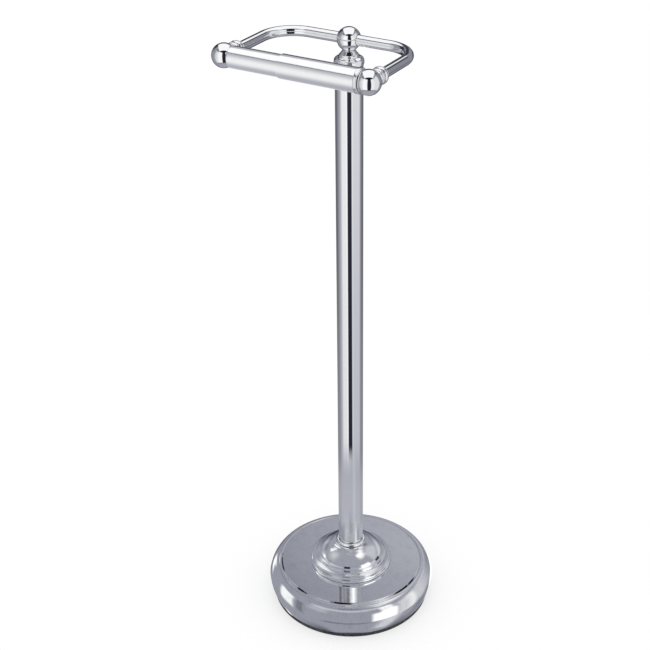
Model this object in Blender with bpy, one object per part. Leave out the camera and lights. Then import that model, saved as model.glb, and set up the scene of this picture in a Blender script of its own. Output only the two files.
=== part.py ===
"""Freestanding toilet paper holder: a weighted round base, a straight post, a bent arm and a sprung roller.

Metres, +Z up. The origin is on the post's axis at the floor. The roller lies along X, in front of the post at -Y.
"""

import math

import bmesh
import bpy
from mathutils import Matrix, Vector

# Fits
CLEARANCE = 0.0003

# Rubber pad under the base
PAD_INSET = 0.0012
PAD_HEIGHT = 0.0055
PAD_EDGE = 0.0008

# Spun base shell
RIM_RADIUS = 0.0865
RIM_HEIGHT = 0.0223
RIM_TUCK = 0.0037
RIM_BULGE = 0.0006
RIM_CREASE_ANGLE = 20.0
SHELL_WALL = 0.0012
BASE_HEIGHT = 0.038
PLATE_MARGIN = 0.0133
PLATE_EDGE = 0.0006
GROOVE_WIDTH = 0.0009
GROOVE_DEPTH = 0.0013
BEAD_WIDTH = 0.0022
BEAD_DROP = 0.0006

# Cast weight inside the shell
WEIGHT_MARGIN = 0.0013
WEIGHT_THICKNESS = 0.018
WEIGHT_BOSS_RADIUS = 0.021
WEIGHT_RECESS_RADIUS = 0.0125
WEIGHT_RECESS_DEPTH = 0.011

# Tie rod, nut and washer
TIE_ROD_RADIUS = 0.004
WASHER_RADIUS = 0.0095
WASHER_THICKNESS = 0.0016
NUT_ACROSS_FLATS = 0.013
NUT_HEIGHT = 0.0065
NUT_EDGE = 0.0005
TIE_ROD_TAIL = 0.0012

# Stepped dome on the plate
FLANGE_RADIUS = 0.0428
FLANGE_HEIGHT = 0.0244
# Outside of the dome: share of its radius, share of its height
FLANGE_OUTSIDE_SHARES = (
    (0.372, 1.0),
    (0.455, 0.959),
    (0.548, 0.876),
    (0.635, 0.772),
    (0.705, 0.663),
    (0.752, 0.565),
    (0.784, 0.473),
    (0.8, 0.459),
    (0.82, 0.448),
    (0.83, 0.418),
    (0.83, 0.384),
    (0.836, 0.353),
    (0.856, 0.323),
    (0.888, 0.303),
    (0.93, 0.292),
    (0.949, 0.277),
    (0.96, 0.25),
    (0.96, 0.216),
    (0.951, 0.188),
    (0.951, 0.131),
    (0.958, 0.078),
    (0.975, 0.039),
    (1.0, 0.018),
    (1.0, 0.0),
)
# Inside of the dome, from its foot to its hole
FLANGE_INSIDE_SHARES = (
    (0.955, 0.0),
    (0.912, 0.175),
    (0.8, 0.248),
    (0.74, 0.44),
    (0.64, 0.655),
    (0.45, 0.86),
)
FLANGE_CROWN_SHARE = 0.91

# Collar ring and post
COLLAR_RADIUS = 0.0156
COLLAR_HEIGHT = 0.0034
POST_RADIUS = 0.0127
POST_LENGTH = 0.5179
POST_WALL = 0.0012
POST_EDGE = 0.0004
PLUG_LENGTH = 0.022
PLUG_EDGE = 0.0008
PLUG_THREAD_SHARE = 0.8

# Turned cap on the post
CAP_RADIUS = 0.0135
CAP_HEIGHT = 0.0137
CAP_NECK_SHARE = 0.395
# Outside of the cap from its neck down: share of its radius, share of its height
CAP_OUTSIDE_SHARES = (
    (0.395, 1.0),
    (0.468, 0.925),
    (0.54, 0.83),
    (0.6, 0.74),
    (0.645, 0.712),
    (0.668, 0.68),
    (0.664, 0.64),
    (0.672, 0.606),
    (0.715, 0.566),
    (0.77, 0.532),
    (0.83, 0.51),
    (0.89, 0.494),
    (0.948, 0.445),
    (0.987, 0.35),
    (1.0, 0.235),
    (0.991, 0.12),
    (0.954, 0.036),
    (0.89, 0.0),
)
STUD_RADIUS = 0.003
STUD_END_WALL = 0.0007

# Arm rod, its ball and its set screw
BALL_RADIUS = 0.01075
ROD_RADIUS = 0.00475
ROD_EDGE = 0.0004
ARM_HALF_WIDTH = 0.0697
ARM_REACH = 0.0893
ARM_BEND_RADIUS = 0.0294
ARM_SOCKET_DEPTH = 0.0078
SET_SCREW_RADIUS = 0.002
SET_SCREW_INSET = 0.0007
SET_SCREW_SOCKET_SHARE = 0.5

# Turned ferrules behind the end balls
FERRULE_RADIUS = 0.0077
FERRULE_LENGTH = 0.014
# Along the ferrule from its ball, and out from the rod
FERRULE_SHARES = (
    (0.0, 0.735),
    (0.1, 0.735),
    (0.13, 0.86),
    (0.17, 0.935),
    (0.25, 0.972),
    (0.345, 0.935),
    (0.39, 0.85),
    (0.44, 0.838),
    (0.485, 0.925),
    (0.555, 0.99),
    (0.64, 1.0),
    (0.72, 0.965),
    (0.775, 0.855),
    (0.81, 0.818),
    (0.865, 0.838),
    (0.925, 0.8),
    (0.975, 0.742),
    (1.0, 0.69),
)

# Telescoping roller
ROLLER_OUTER_RADIUS = 0.01045
ROLLER_INNER_RADIUS = 0.00965
ROLLER_WALL = 0.0005
ROLLER_OUTER_SETBACK = 0.0092
ROLLER_INNER_SETBACK = 0.0087
ROLLER_STEP = 0.012
ROLLER_OVERLAP = 0.03
END_CAP_PLUG = 0.008
END_CAP_LIP = 0.003
END_CAP_PROUD = 0.0004
END_CAP_INSET = 0.0004
END_CAP_EDGE_SHARE = 0.3
SPRING_WIRE_RADIUS = 0.0006
SPRING_COIL_SHARE = 0.72
SPRING_COILS = 9

# Facets
BASE_SEGMENTS = 48
DOME_SEGMENTS = 36
POST_SEGMENTS = 26
SMALL_SEGMENTS = 16
WIRE_SEGMENTS = 4
ROD_SEGMENTS = 16
BALL_RINGS = 11
BEND_STEPS = 8
OVOLO_STEPS = 6
INSIDE_STEPS = 3
SHELL_FOOT_STEPS = 3
COLLAR_STEPS = 5
CUP_STEPS = 5
COIL_STEPS = 9
SMOOTH_ANGLE = math.radians(32.0)
MERGE_SHARE = 0.01

# Radii of the base, from its rim in
SHELL_FOOT_RADIUS = RIM_RADIUS - RIM_TUCK
PAD_RADIUS = SHELL_FOOT_RADIUS - PAD_INSET
PLATE_RADIUS = RIM_RADIUS - PLATE_MARGIN

# Ends of the roller's tubes, from the balls' centres in
ROLLER_OUTER_END = ARM_HALF_WIDTH - ROLLER_OUTER_SETBACK
ROLLER_INNER_END = ARM_HALF_WIDTH - ROLLER_INNER_SETBACK

# Heights of the stack, from the floor up
SHELL_BOTTOM = PAD_HEIGHT + CLEARANCE
FLANGE_BOTTOM = BASE_HEIGHT + CLEARANCE
FLANGE_TOP = FLANGE_BOTTOM + FLANGE_HEIGHT
COLLAR_BOTTOM = FLANGE_TOP + CLEARANCE
POST_BOTTOM = COLLAR_BOTTOM + COLLAR_HEIGHT + CLEARANCE
POST_TOP = POST_BOTTOM + POST_LENGTH
CAP_BOTTOM = POST_TOP + CLEARANCE
CAP_TOP = CAP_BOTTOM + CAP_HEIGHT
NECK_RADIUS = CAP_RADIUS * CAP_NECK_SHARE
ARM_HEIGHT = CAP_TOP + CLEARANCE + math.sqrt(BALL_RADIUS**2 - NECK_RADIUS**2)
BORE_RADIUS = ROD_RADIUS + CLEARANCE
STUD_BORE = STUD_RADIUS + CLEARANCE
TIE_ROD_BORE = TIE_ROD_RADIUS + CLEARANCE
CUP_RADIUS = BALL_RADIUS + CLEARANCE


def clear_scene():
    """Removes what the scene holds."""
    for thing in list(bpy.data.objects):
        bpy.data.objects.remove(thing, do_unlink=True)


def finish_of(name, colour, metallic, roughness):
    """The Principled material of one sub-part."""
    material = bpy.data.materials.new(name)
    material.use_nodes = True
    shader = material.node_tree.nodes["Principled BSDF"]
    shader.inputs["Base Color"].default_value = (*colour, 1.0)
    shader.inputs["Metallic"].default_value = metallic
    shader.inputs["Roughness"].default_value = roughness
    material.diffuse_color = (*colour, 1.0)
    return material


def chrome(name):
    """Polished plating."""
    return finish_of(name + "_finish", (0.83, 0.84, 0.86), 1.0, 0.06)


def steel(name):
    """Plain machined steel."""
    return finish_of(name + "_finish", (0.5, 0.5, 0.51), 1.0, 0.35)


def placed(name, mesh, material):
    """An object in the scene that carries one mesh and one material."""
    thing = bpy.data.objects.new(name, mesh)
    bpy.context.scene.collection.objects.link(thing)
    mesh.materials.append(material)
    return thing


def shade(thing):
    """Smooth shading with the turned edges kept sharp."""
    thing.data.shade_smooth()
    thing.data.set_sharp_from_angle(angle=SMOOTH_ANGLE)


def turned(name, profile, segments, material, closed=False):
    """A piece turned about Z from (radius, height) pairs. A closed profile leaves a hole along the axis."""
    shape = bmesh.new()
    points = [shape.verts.new((radius, 0.0, height)) for radius, height in profile]
    edges = [shape.edges.new(pair) for pair in zip(points, points[1:])]
    if closed:
        edges.append(shape.edges.new((points[-1], points[0])))
    bmesh.ops.spin(
        shape,
        geom=points + edges,
        cent=(0.0, 0.0, 0.0),
        axis=(0.0, 0.0, 1.0),
        angle=math.tau,
        steps=segments,
        use_merge=True,
    )
    bmesh.ops.remove_doubles(shape, verts=shape.verts, dist=CLEARANCE * MERGE_SHARE)
    bmesh.ops.recalc_face_normals(shape, faces=shape.faces)
    mesh = bpy.data.meshes.new(name)
    shape.to_mesh(mesh)
    shape.free()
    thing = placed(name, mesh, material)
    shade(thing)
    return thing


def along(thing, direction, origin):
    """Lays a turned piece's axis along a direction, with its zero height at an origin."""
    turn = Vector((0.0, 0.0, 1.0)).rotation_difference(Vector(direction))
    thing.matrix_world = Matrix.Translation(Vector(origin)) @ turn.to_matrix().to_4x4()
    return thing


def arc(centre, radii, start, end, steps):
    """Points on an elliptical arc between two angles in degrees, both ends included."""
    points = []
    for step in range(steps + 1):
        angle = math.radians(start + (end - start) * step / steps)
        points.append((centre[0] + radii[0] * math.cos(angle), centre[1] + radii[1] * math.sin(angle)))
    return points


def scaled(shares, radius, height, bottom):
    """Turns a table of shares into (radius, height) pairs."""
    return [(radius * out, bottom + height * up) for out, up in shares]


def cut(thing, cutter):
    """Cuts a hidden solid out of a piece."""
    cutter.hide_render = True
    cutter.display_type = "WIRE"
    modifier = thing.modifiers.new("cut_" + cutter.name, "BOOLEAN")
    modifier.operation = "DIFFERENCE"
    modifier.solver = "EXACT"
    modifier.object = cutter


def rounded(thing, width):
    """Breaks the sharp edges of a piece."""
    modifier = thing.modifiers.new("edge", "BEVEL")
    modifier.width = width
    modifier.segments = 1
    modifier.limit_method = "ANGLE"
    modifier.angle_limit = SMOOTH_ANGLE


def disc(name, radius, hole, bottom, top, segments, material):
    """A flat round piece with a hole through it."""
    profile = [(hole, top), (radius, top), (radius, bottom), (hole, bottom)]
    return turned(name, profile, segments, material, closed=True)


def bar(name, radius, bottom, top, segments, material):
    """A solid round piece."""
    profile = [(0.0, top), (radius, top), (radius, bottom), (0.0, bottom)]
    return turned(name, profile, segments, material)


def tube_wire(name, path, radius, sides, material):
    """A round wire or rod that follows a path, with closed ends."""
    line = bpy.data.curves.new(name, "CURVE")
    line.dimensions = "3D"
    line.bevel_mode = "ROUND"
    line.bevel_depth = radius
    line.bevel_resolution = sides // 2 - 1
    line.use_fill_caps = True
    spline = line.splines.new("POLY")
    spline.points.add(len(path) - 1)
    for point, place in zip(spline.points, path):
        point.co = (*place, 1.0)
    spline.use_smooth = True
    line.materials.append(material)
    thing = bpy.data.objects.new(name, line)
    bpy.context.scene.collection.objects.link(thing)
    return thing


def rubber_pad():
    """The anti-slip disc that the holder stands on."""
    material = finish_of("rubber_pad_finish", (0.03, 0.03, 0.032), 0.0, 0.8)
    pad = bar("rubber_pad", PAD_RADIUS, 0.0, PAD_HEIGHT, BASE_SEGMENTS, material)
    rounded(pad, PAD_EDGE)


def rim_side(top_radius):
    """The slightly bulged side that runs down and in from the rim to the shell's foot."""
    points = []
    for step in range(SHELL_FOOT_STEPS + 1):
        share = step / SHELL_FOOT_STEPS
        bulge = RIM_BULGE * 4 * share * (1.0 - share)
        height = RIM_HEIGHT + (SHELL_BOTTOM - RIM_HEIGHT) * share
        points.append((top_radius - RIM_TUCK * share + bulge, height))
    return points


def shell_outside():
    """The shell's outside, from the hole in its plate out and down to its foot."""
    bead_start = PLATE_RADIUS + GROOVE_WIDTH
    ovolo_start = bead_start + BEAD_WIDTH
    bead_top = BASE_HEIGHT - BEAD_DROP
    groove = BASE_HEIGHT - GROOVE_DEPTH
    points = [
        (TIE_ROD_BORE, BASE_HEIGHT),
        (PLATE_RADIUS - PLATE_EDGE, BASE_HEIGHT),
        (PLATE_RADIUS, BASE_HEIGHT - PLATE_EDGE),
        (PLATE_RADIUS, groove),
        (bead_start, groove),
    ]
    bead = ((bead_start + ovolo_start) / 2, groove)
    points += arc(bead, (BEAD_WIDTH / 2, bead_top - groove), 150.0, 30.0, 3)
    crease = math.radians(RIM_CREASE_ANGLE)
    out = (RIM_RADIUS - ovolo_start) / math.cos(crease)
    rise = (groove - RIM_HEIGHT) / (1.0 - math.sin(crease))
    points += arc((ovolo_start, groove - rise), (out, rise), 90.0, RIM_CREASE_ANGLE, OVOLO_STEPS)
    points += rim_side(RIM_RADIUS)[1:]
    return points


def shell_inside():
    """The shell's inside, from its foot up and in to the hole in its plate."""
    underside = BASE_HEIGHT - GROOVE_DEPTH - SHELL_WALL
    points = list(reversed(rim_side(RIM_RADIUS - SHELL_WALL)))
    inner_start = PLATE_RADIUS - PLATE_EDGE
    size = (RIM_RADIUS - SHELL_WALL - inner_start, underside - RIM_HEIGHT)
    points += arc((inner_start, RIM_HEIGHT), size, 0.0, 90.0, INSIDE_STEPS)[1:]
    points.append((inner_start - SHELL_WALL, BASE_HEIGHT - SHELL_WALL))
    points.append((TIE_ROD_BORE, BASE_HEIGHT - SHELL_WALL))
    return points


def base_shell():
    """The spun cover of the base: flat plate, groove, bead and rounded rim."""
    profile = shell_outside() + shell_inside()
    turned("base_shell", profile, BASE_SEGMENTS, chrome("base_shell"), closed=True)


def weight_profile():
    """The casting's section: a flat disc, a boss that holds the plate up and a recess for the nut."""
    radius = SHELL_FOOT_RADIUS - SHELL_WALL - WEIGHT_MARGIN
    boss_top = BASE_HEIGHT - SHELL_WALL - CLEARANCE
    disc_top = SHELL_BOTTOM + WEIGHT_THICKNESS
    recess = SHELL_BOTTOM + WEIGHT_RECESS_DEPTH
    return [
        (TIE_ROD_BORE, boss_top),
        (WEIGHT_BOSS_RADIUS, boss_top),
        (WEIGHT_BOSS_RADIUS, disc_top),
        (radius, disc_top),
        (radius, SHELL_BOTTOM),
        (WEIGHT_RECESS_RADIUS, SHELL_BOTTOM),
        (WEIGHT_RECESS_RADIUS, recess),
        (TIE_ROD_BORE, recess),
    ]


def base_weight():
    """The cast iron disc that keeps the holder upright."""
    material = finish_of("base_weight_finish", (0.06, 0.06, 0.065), 0.7, 0.6)
    turned("base_weight", weight_profile(), BASE_SEGMENTS, material, closed=True)


def base_fasteners():
    """The rod that ties base and post together, with its washer and nut in the casting's recess."""
    seat = SHELL_BOTTOM + WEIGHT_RECESS_DEPTH - CLEARANCE
    washer_bottom = seat - WASHER_THICKNESS
    disc("base_washer", WASHER_RADIUS, TIE_ROD_BORE, washer_bottom, seat, SMALL_SEGMENTS, steel("base_washer"))
    nut_top = washer_bottom - CLEARANCE
    nut_bottom = nut_top - NUT_HEIGHT
    nut_radius = NUT_ACROSS_FLATS / 2 / math.cos(math.pi / 6)
    nut = bar("base_nut", nut_radius, nut_bottom, nut_top, 6, steel("base_nut"))
    rounded(nut, NUT_EDGE)
    hole = bar("nut_cutter", TIE_ROD_BORE, nut_bottom - CLEARANCE, seat, SMALL_SEGMENTS, steel("nut_cutter"))
    cut(nut, hole)
    rod_top = POST_BOTTOM + PLUG_LENGTH * PLUG_THREAD_SHARE
    rod_bottom = nut_bottom - TIE_ROD_TAIL
    rod = bar("tie_rod", TIE_ROD_RADIUS, rod_bottom, rod_top, SMALL_SEGMENTS, steel("tie_rod"))
    rounded(rod, ROD_EDGE)


def base_flange():
    """The stepped dome that covers the joint of base and post."""
    outside = scaled(FLANGE_OUTSIDE_SHARES, FLANGE_RADIUS, FLANGE_HEIGHT, FLANGE_BOTTOM)
    inside = scaled(FLANGE_INSIDE_SHARES, FLANGE_RADIUS, FLANGE_HEIGHT, FLANGE_BOTTOM)
    crown = FLANGE_BOTTOM + FLANGE_HEIGHT * FLANGE_CROWN_SHARE
    profile = [(TIE_ROD_BORE, FLANGE_TOP)] + outside + inside + [(TIE_ROD_BORE, crown)]
    turned("base_flange", profile, DOME_SEGMENTS, chrome("base_flange"), closed=True)


def foot_collar():
    """The thin rounded ring between dome and post."""
    middle = COLLAR_BOTTOM + COLLAR_HEIGHT / 2
    bulge = COLLAR_HEIGHT / 2
    edge = arc((COLLAR_RADIUS - bulge, middle), (bulge, bulge), 90.0, -90.0, COLLAR_STEPS)
    profile = [(TIE_ROD_BORE, middle + bulge)] + edge + [(TIE_ROD_BORE, COLLAR_BOTTOM)]
    turned("foot_collar", profile, POST_SEGMENTS, chrome("foot_collar"), closed=True)


def post():
    """The straight tube and the two threaded plugs pressed into its ends."""
    hole = POST_RADIUS - POST_WALL
    tube = disc("post_tube", POST_RADIUS, hole, POST_BOTTOM, POST_TOP, POST_SEGMENTS, chrome("post_tube"))
    rounded(tube, POST_EDGE)
    plug = hole - CLEARANCE
    lower_top = POST_BOTTOM + PLUG_LENGTH
    lower = disc("lower_plug", plug, TIE_ROD_BORE, POST_BOTTOM, lower_top, SMALL_SEGMENTS, steel("lower_plug"))
    rounded(lower, PLUG_EDGE)
    upper_bottom = POST_TOP - PLUG_LENGTH
    upper = disc("upper_plug", plug, STUD_BORE, upper_bottom, POST_TOP, SMALL_SEGMENTS, steel("upper_plug"))
    rounded(upper, PLUG_EDGE)


def top_cap():
    """The turned bell between post and ball, with a seat for the ball."""
    outside = scaled(CAP_OUTSIDE_SHARES, CAP_RADIUS, CAP_HEIGHT, CAP_BOTTOM)
    seat_depth = math.sqrt(BALL_RADIUS**2 - STUD_BORE**2) - math.sqrt(BALL_RADIUS**2 - NECK_RADIUS**2)
    profile = outside + [(STUD_BORE, CAP_BOTTOM), (STUD_BORE, CAP_TOP - seat_depth)]
    turned("top_cap", profile, POST_SEGMENTS, chrome("top_cap"), closed=True)


def cap_stud():
    """The stud that holds cap and ball down on the post."""
    bottom = POST_TOP - PLUG_LENGTH * PLUG_THREAD_SHARE
    top = ARM_HEIGHT - BORE_RADIUS - STUD_END_WALL - CLEARANCE
    stud = bar("cap_stud", STUD_RADIUS, bottom, top, SMALL_SEGMENTS, steel("cap_stud"))
    rounded(stud, ROD_EDGE)


def bored_ball_profile():
    """A sphere with a hole along its axis, as (radius, height) pairs."""
    limit = math.degrees(math.acos(BORE_RADIUS / BALL_RADIUS))
    return arc((0.0, 0.0), (BALL_RADIUS, BALL_RADIUS), limit, -limit, BALL_RINGS)


def top_ball():
    """The cross-bored ball that carries the arm, tapped below for the stud and behind for the set screw."""
    centre = (0.0, 0.0, ARM_HEIGHT)
    ball = turned("top_ball", bored_ball_profile(), POST_SEGMENTS, chrome("top_ball"), closed=True)
    along(ball, (1.0, 0.0, 0.0), centre)
    reach = BALL_RADIUS + CLEARANCE
    stud_hole = bar(
        "stud_cutter", STUD_BORE, BORE_RADIUS + STUD_END_WALL, reach, SMALL_SEGMENTS, steel("stud_cutter")
    )
    cut(ball, along(stud_hole, (0.0, 0.0, -1.0), centre))
    screw_hole = bar(
        "screw_cutter", SET_SCREW_RADIUS + CLEARANCE, ROD_RADIUS / 2, reach, SMALL_SEGMENTS, steel("screw_cutter")
    )
    cut(ball, along(screw_hole, (0.0, 1.0, 0.0), centre))


def arm_set_screw():
    """The headless screw that clamps the arm inside the ball."""
    tip = BORE_RADIUS
    head = BALL_RADIUS - SET_SCREW_INSET
    socket = SET_SCREW_RADIUS * SET_SCREW_SOCKET_SHARE
    floor = head - SET_SCREW_RADIUS * SET_SCREW_SOCKET_SHARE
    profile = [
        (0.0, floor),
        (socket, floor),
        (socket, head),
        (SET_SCREW_RADIUS, head),
        (SET_SCREW_RADIUS, tip),
        (0.0, tip),
    ]
    screw = turned("arm_set_screw", profile, SMALL_SEGMENTS, steel("arm_set_screw"))
    along(screw, (0.0, 1.0, 0.0), (0.0, 0.0, ARM_HEIGHT))


def arm_path():
    """The rod's centre line: left leg, bend, back bar, bend, right leg."""
    end = -ARM_REACH + BALL_RADIUS - ARM_SOCKET_DEPTH
    corner = ARM_HALF_WIDTH - ARM_BEND_RADIUS
    size = (ARM_BEND_RADIUS, ARM_BEND_RADIUS)
    points = [(-ARM_HALF_WIDTH, end)]
    points += arc((-corner, -ARM_BEND_RADIUS), size, 180.0, 90.0, BEND_STEPS)
    points += arc((corner, -ARM_BEND_RADIUS), size, 90.0, 0.0, BEND_STEPS)
    points.append((ARM_HALF_WIDTH, end))
    return [(across, depth, ARM_HEIGHT) for across, depth in points]


def arm_rod():
    """The bent rod that passes through the ball and reaches forward on both sides."""
    tube_wire("arm_rod", arm_path(), ROD_RADIUS, ROD_SEGMENTS, chrome("arm_rod"))


def end_ball_profile():
    """A sphere with a blind hole for the rod, which enters from above."""
    opening = math.degrees(math.acos(BORE_RADIUS / BALL_RADIUS))
    sphere = arc((0.0, 0.0), (BALL_RADIUS, BALL_RADIUS), opening, -90.0, BALL_RINGS)
    floor = BALL_RADIUS - ARM_SOCKET_DEPTH - CLEARANCE
    return [(0.0, floor), (BORE_RADIUS, floor)] + sphere[:-1] + [(0.0, -BALL_RADIUS)]


def end_balls():
    """The ball on each rod end, which a cup of the roller rides on."""
    for side, sign in (("left", -1.0), ("right", 1.0)):
        name = "end_ball_" + side
        ball = turned(name, end_ball_profile(), POST_SEGMENTS, chrome(name))
        along(ball, (0.0, 1.0, 0.0), (sign * ARM_HALF_WIDTH, -ARM_REACH, ARM_HEIGHT))


def ferrules():
    """The turned ring pair on the rod behind each end ball."""
    start = math.sqrt(BALL_RADIUS**2 - BORE_RADIUS**2) + CLEARANCE
    outside = [(FERRULE_RADIUS * out, start + FERRULE_LENGTH * run) for run, out in FERRULE_SHARES]
    profile = outside + [(BORE_RADIUS, start + FERRULE_LENGTH), (BORE_RADIUS, start)]
    for side, sign in (("left", -1.0), ("right", 1.0)):
        name = "ferrule_" + side
        ring = turned(name, profile, SMALL_SEGMENTS, chrome(name), closed=True)
        along(ring, (0.0, 1.0, 0.0), (sign * ARM_HALF_WIDTH, -ARM_REACH, ARM_HEIGHT))


def roller_piece(name, profile, segments, material):
    """A piece turned about the roller's axis, with heights measured to the right from its middle."""
    piece = turned(name, profile, segments, material, closed=True)
    return along(piece, (1.0, 0.0, 0.0), (0.0, -ARM_REACH, ARM_HEIGHT))


def roller_tubes():
    """The two thin tubes that slide into each other."""
    finish = ((0.78, 0.78, 0.8), 1.0, 0.3)
    right = ROLLER_OUTER_RADIUS - ROLLER_WALL
    outer = [
        (right, ROLLER_OUTER_END),
        (ROLLER_OUTER_RADIUS, ROLLER_OUTER_END),
        (ROLLER_OUTER_RADIUS, -ROLLER_STEP),
        (right, -ROLLER_STEP),
    ]
    roller_piece("roller_outer_tube", outer, POST_SEGMENTS, finish_of("roller_outer_tube_finish", *finish))
    left = ROLLER_INNER_RADIUS - ROLLER_WALL
    inner_end = ROLLER_OVERLAP - ROLLER_STEP
    inner = [
        (left, inner_end),
        (ROLLER_INNER_RADIUS, inner_end),
        (ROLLER_INNER_RADIUS, -ROLLER_INNER_END),
        (left, -ROLLER_INNER_END),
    ]
    roller_piece("roller_inner_tube", inner, POST_SEGMENTS, finish_of("roller_inner_tube_finish", *finish))


def cup(mouth):
    """The hollow that a ball sits in, from a mouth at a distance from the ball's centre to the axis."""
    start = math.degrees(math.asin(mouth / CUP_RADIUS))
    return arc((0.0, 0.0), (CUP_RADIUS, CUP_RADIUS), start, 90.0, CUP_STEPS)


def right_cap_profile():
    """The lipped cap of the outer tube, as distances towards the right ball's centre."""
    face = ARM_HALF_WIDTH - ROLLER_OUTER_END - CLEARANCE - END_CAP_LIP
    lip = ROLLER_OUTER_RADIUS + END_CAP_PROUD
    edge = END_CAP_LIP * END_CAP_EDGE_SHARE
    plug = ROLLER_OUTER_RADIUS - ROLLER_WALL - CLEARANCE
    seam = face + END_CAP_LIP
    hollow = cup(face)
    profile = [(0.0, seam + END_CAP_PLUG), (plug, seam + END_CAP_PLUG), (plug, seam)]
    profile += [(lip, seam), (lip, face + edge), (lip - edge, face)]
    return profile + hollow[:-1] + [(0.0, CUP_RADIUS)]


def left_cap_profile():
    """The plain plug of the inner tube, as distances towards the left ball's centre."""
    face = ARM_HALF_WIDTH - ROLLER_INNER_END + END_CAP_INSET
    plug = ROLLER_INNER_RADIUS - ROLLER_WALL - CLEARANCE
    back = face + END_CAP_LIP + END_CAP_PLUG
    hollow = cup(face)
    return [(0.0, back), (plug, back), (plug, face)] + hollow[:-1] + [(0.0, CUP_RADIUS)]


def roller_caps():
    """The dished ends that turn on the two balls."""
    right = turned("roller_cap_right", right_cap_profile(), POST_SEGMENTS, chrome("roller_cap_right"))
    along(right, (-1.0, 0.0, 0.0), (ARM_HALF_WIDTH, -ARM_REACH, ARM_HEIGHT))
    left = turned("roller_cap_left", left_cap_profile(), POST_SEGMENTS, chrome("roller_cap_left"))
    along(left, (1.0, 0.0, 0.0), (-ARM_HALF_WIDTH, -ARM_REACH, ARM_HEIGHT))


def roller_spring():
    """The coil that pushes the roller's halves apart."""
    cap_back = CLEARANCE + SPRING_WIRE_RADIUS + END_CAP_PLUG
    left = -ROLLER_INNER_END + END_CAP_INSET + END_CAP_LIP + cap_back
    right = ROLLER_OUTER_END - cap_back
    radius = ROLLER_INNER_RADIUS * SPRING_COIL_SHARE
    steps = SPRING_COILS * COIL_STEPS
    path = []
    for step in range(steps + 1):
        angle = math.tau * step / COIL_STEPS
        across = left + (right - left) * step / steps
        path.append((across, radius * math.cos(angle) - ARM_REACH, radius * math.sin(angle) + ARM_HEIGHT))
    tube_wire("roller_spring", path, SPRING_WIRE_RADIUS, WIRE_SEGMENTS, steel("roller_spring"))


def build():
    """Makes every piece of the holder."""
    clear_scene()
    rubber_pad()
    base_shell()
    base_weight()
    base_fasteners()
    base_flange()
    foot_collar()
    post()
    top_cap()
    cap_stud()
    top_ball()
    arm_set_screw()
    arm_rod()
    end_balls()
    ferrules()
    roller_tubes()
    roller_caps()
    roller_spring()


build()
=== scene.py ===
"""Looks of the freestanding toilet paper holder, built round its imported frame.

Lengths are in metres. The post stands on the origin, the roller lies along X in front of it, and Z is up.
"""

import logging
import math
from collections.abc import Iterable, Sequence
from dataclasses import dataclass, field
from enum import Enum

import bmesh
import bpy
from mathutils import Matrix, Vector


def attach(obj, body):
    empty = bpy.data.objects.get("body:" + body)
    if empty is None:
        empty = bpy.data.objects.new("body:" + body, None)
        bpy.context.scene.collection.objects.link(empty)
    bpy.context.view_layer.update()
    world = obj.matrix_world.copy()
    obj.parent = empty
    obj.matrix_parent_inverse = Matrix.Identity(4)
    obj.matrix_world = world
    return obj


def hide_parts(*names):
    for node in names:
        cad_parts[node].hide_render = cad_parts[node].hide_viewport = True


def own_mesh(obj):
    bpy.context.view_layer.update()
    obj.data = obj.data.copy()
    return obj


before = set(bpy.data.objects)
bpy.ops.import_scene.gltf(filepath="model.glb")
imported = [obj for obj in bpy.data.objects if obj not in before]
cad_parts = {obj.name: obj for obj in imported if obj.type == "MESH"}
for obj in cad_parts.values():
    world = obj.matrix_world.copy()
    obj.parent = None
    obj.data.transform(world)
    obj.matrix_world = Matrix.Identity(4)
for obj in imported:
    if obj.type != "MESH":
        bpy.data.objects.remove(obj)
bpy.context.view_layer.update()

LOG = logging.getLogger("holder")
# The gap that touching pieces keep, and the distance within which two points are one.
FIT = 0.0003
NEAR = FIT / 100
HALF_TURN = 180.0
SHARP_ANGLE = math.radians(30.0)
UP = Vector((0.0, 0.0, 1.0))
WHITE = (1.0, 1.0, 1.0, 1.0)

Point = tuple[float, float]
Place = tuple[float, float, float]
Colour = tuple[float, float, float]
Piece = bpy.types.Object
Material = bpy.types.Material
Socket = bpy.types.NodeSocket
Outputs = bpy.types.bpy_prop_collection
Form = bmesh.types.BMesh


class Body(Enum):
    """The bodies of the frame that pieces ride on."""

    STAND = "stand"
    OUTER = "roller_outer"
    INNER = "roller_inner"


class Slot(Enum):
    """The record's material slots, one named for each new piece but not assigned."""

    CHROME = "chrome"
    ROLLER = "roller_metal"
    STEEL = "plain_steel"
    RUBBER = "rubber"


class Axis(Enum):
    """The way a turned piece's own height points."""

    RIGHT = (1.0, 0.0, 0.0)
    LEFT = (-1.0, 0.0, 0.0)
    BACK = (0.0, 1.0, 0.0)


class Corner(Enum):
    """An outer corner and the way that it is passed: first and last angle in degrees from outward."""

    UPPER_DOWN = (90.0, 0.0)
    LOWER_DOWN = (0.0, -90.0)
    LOWER_UP = (-90.0, 0.0)
    UPPER_UP = (0.0, 90.0)


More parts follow.
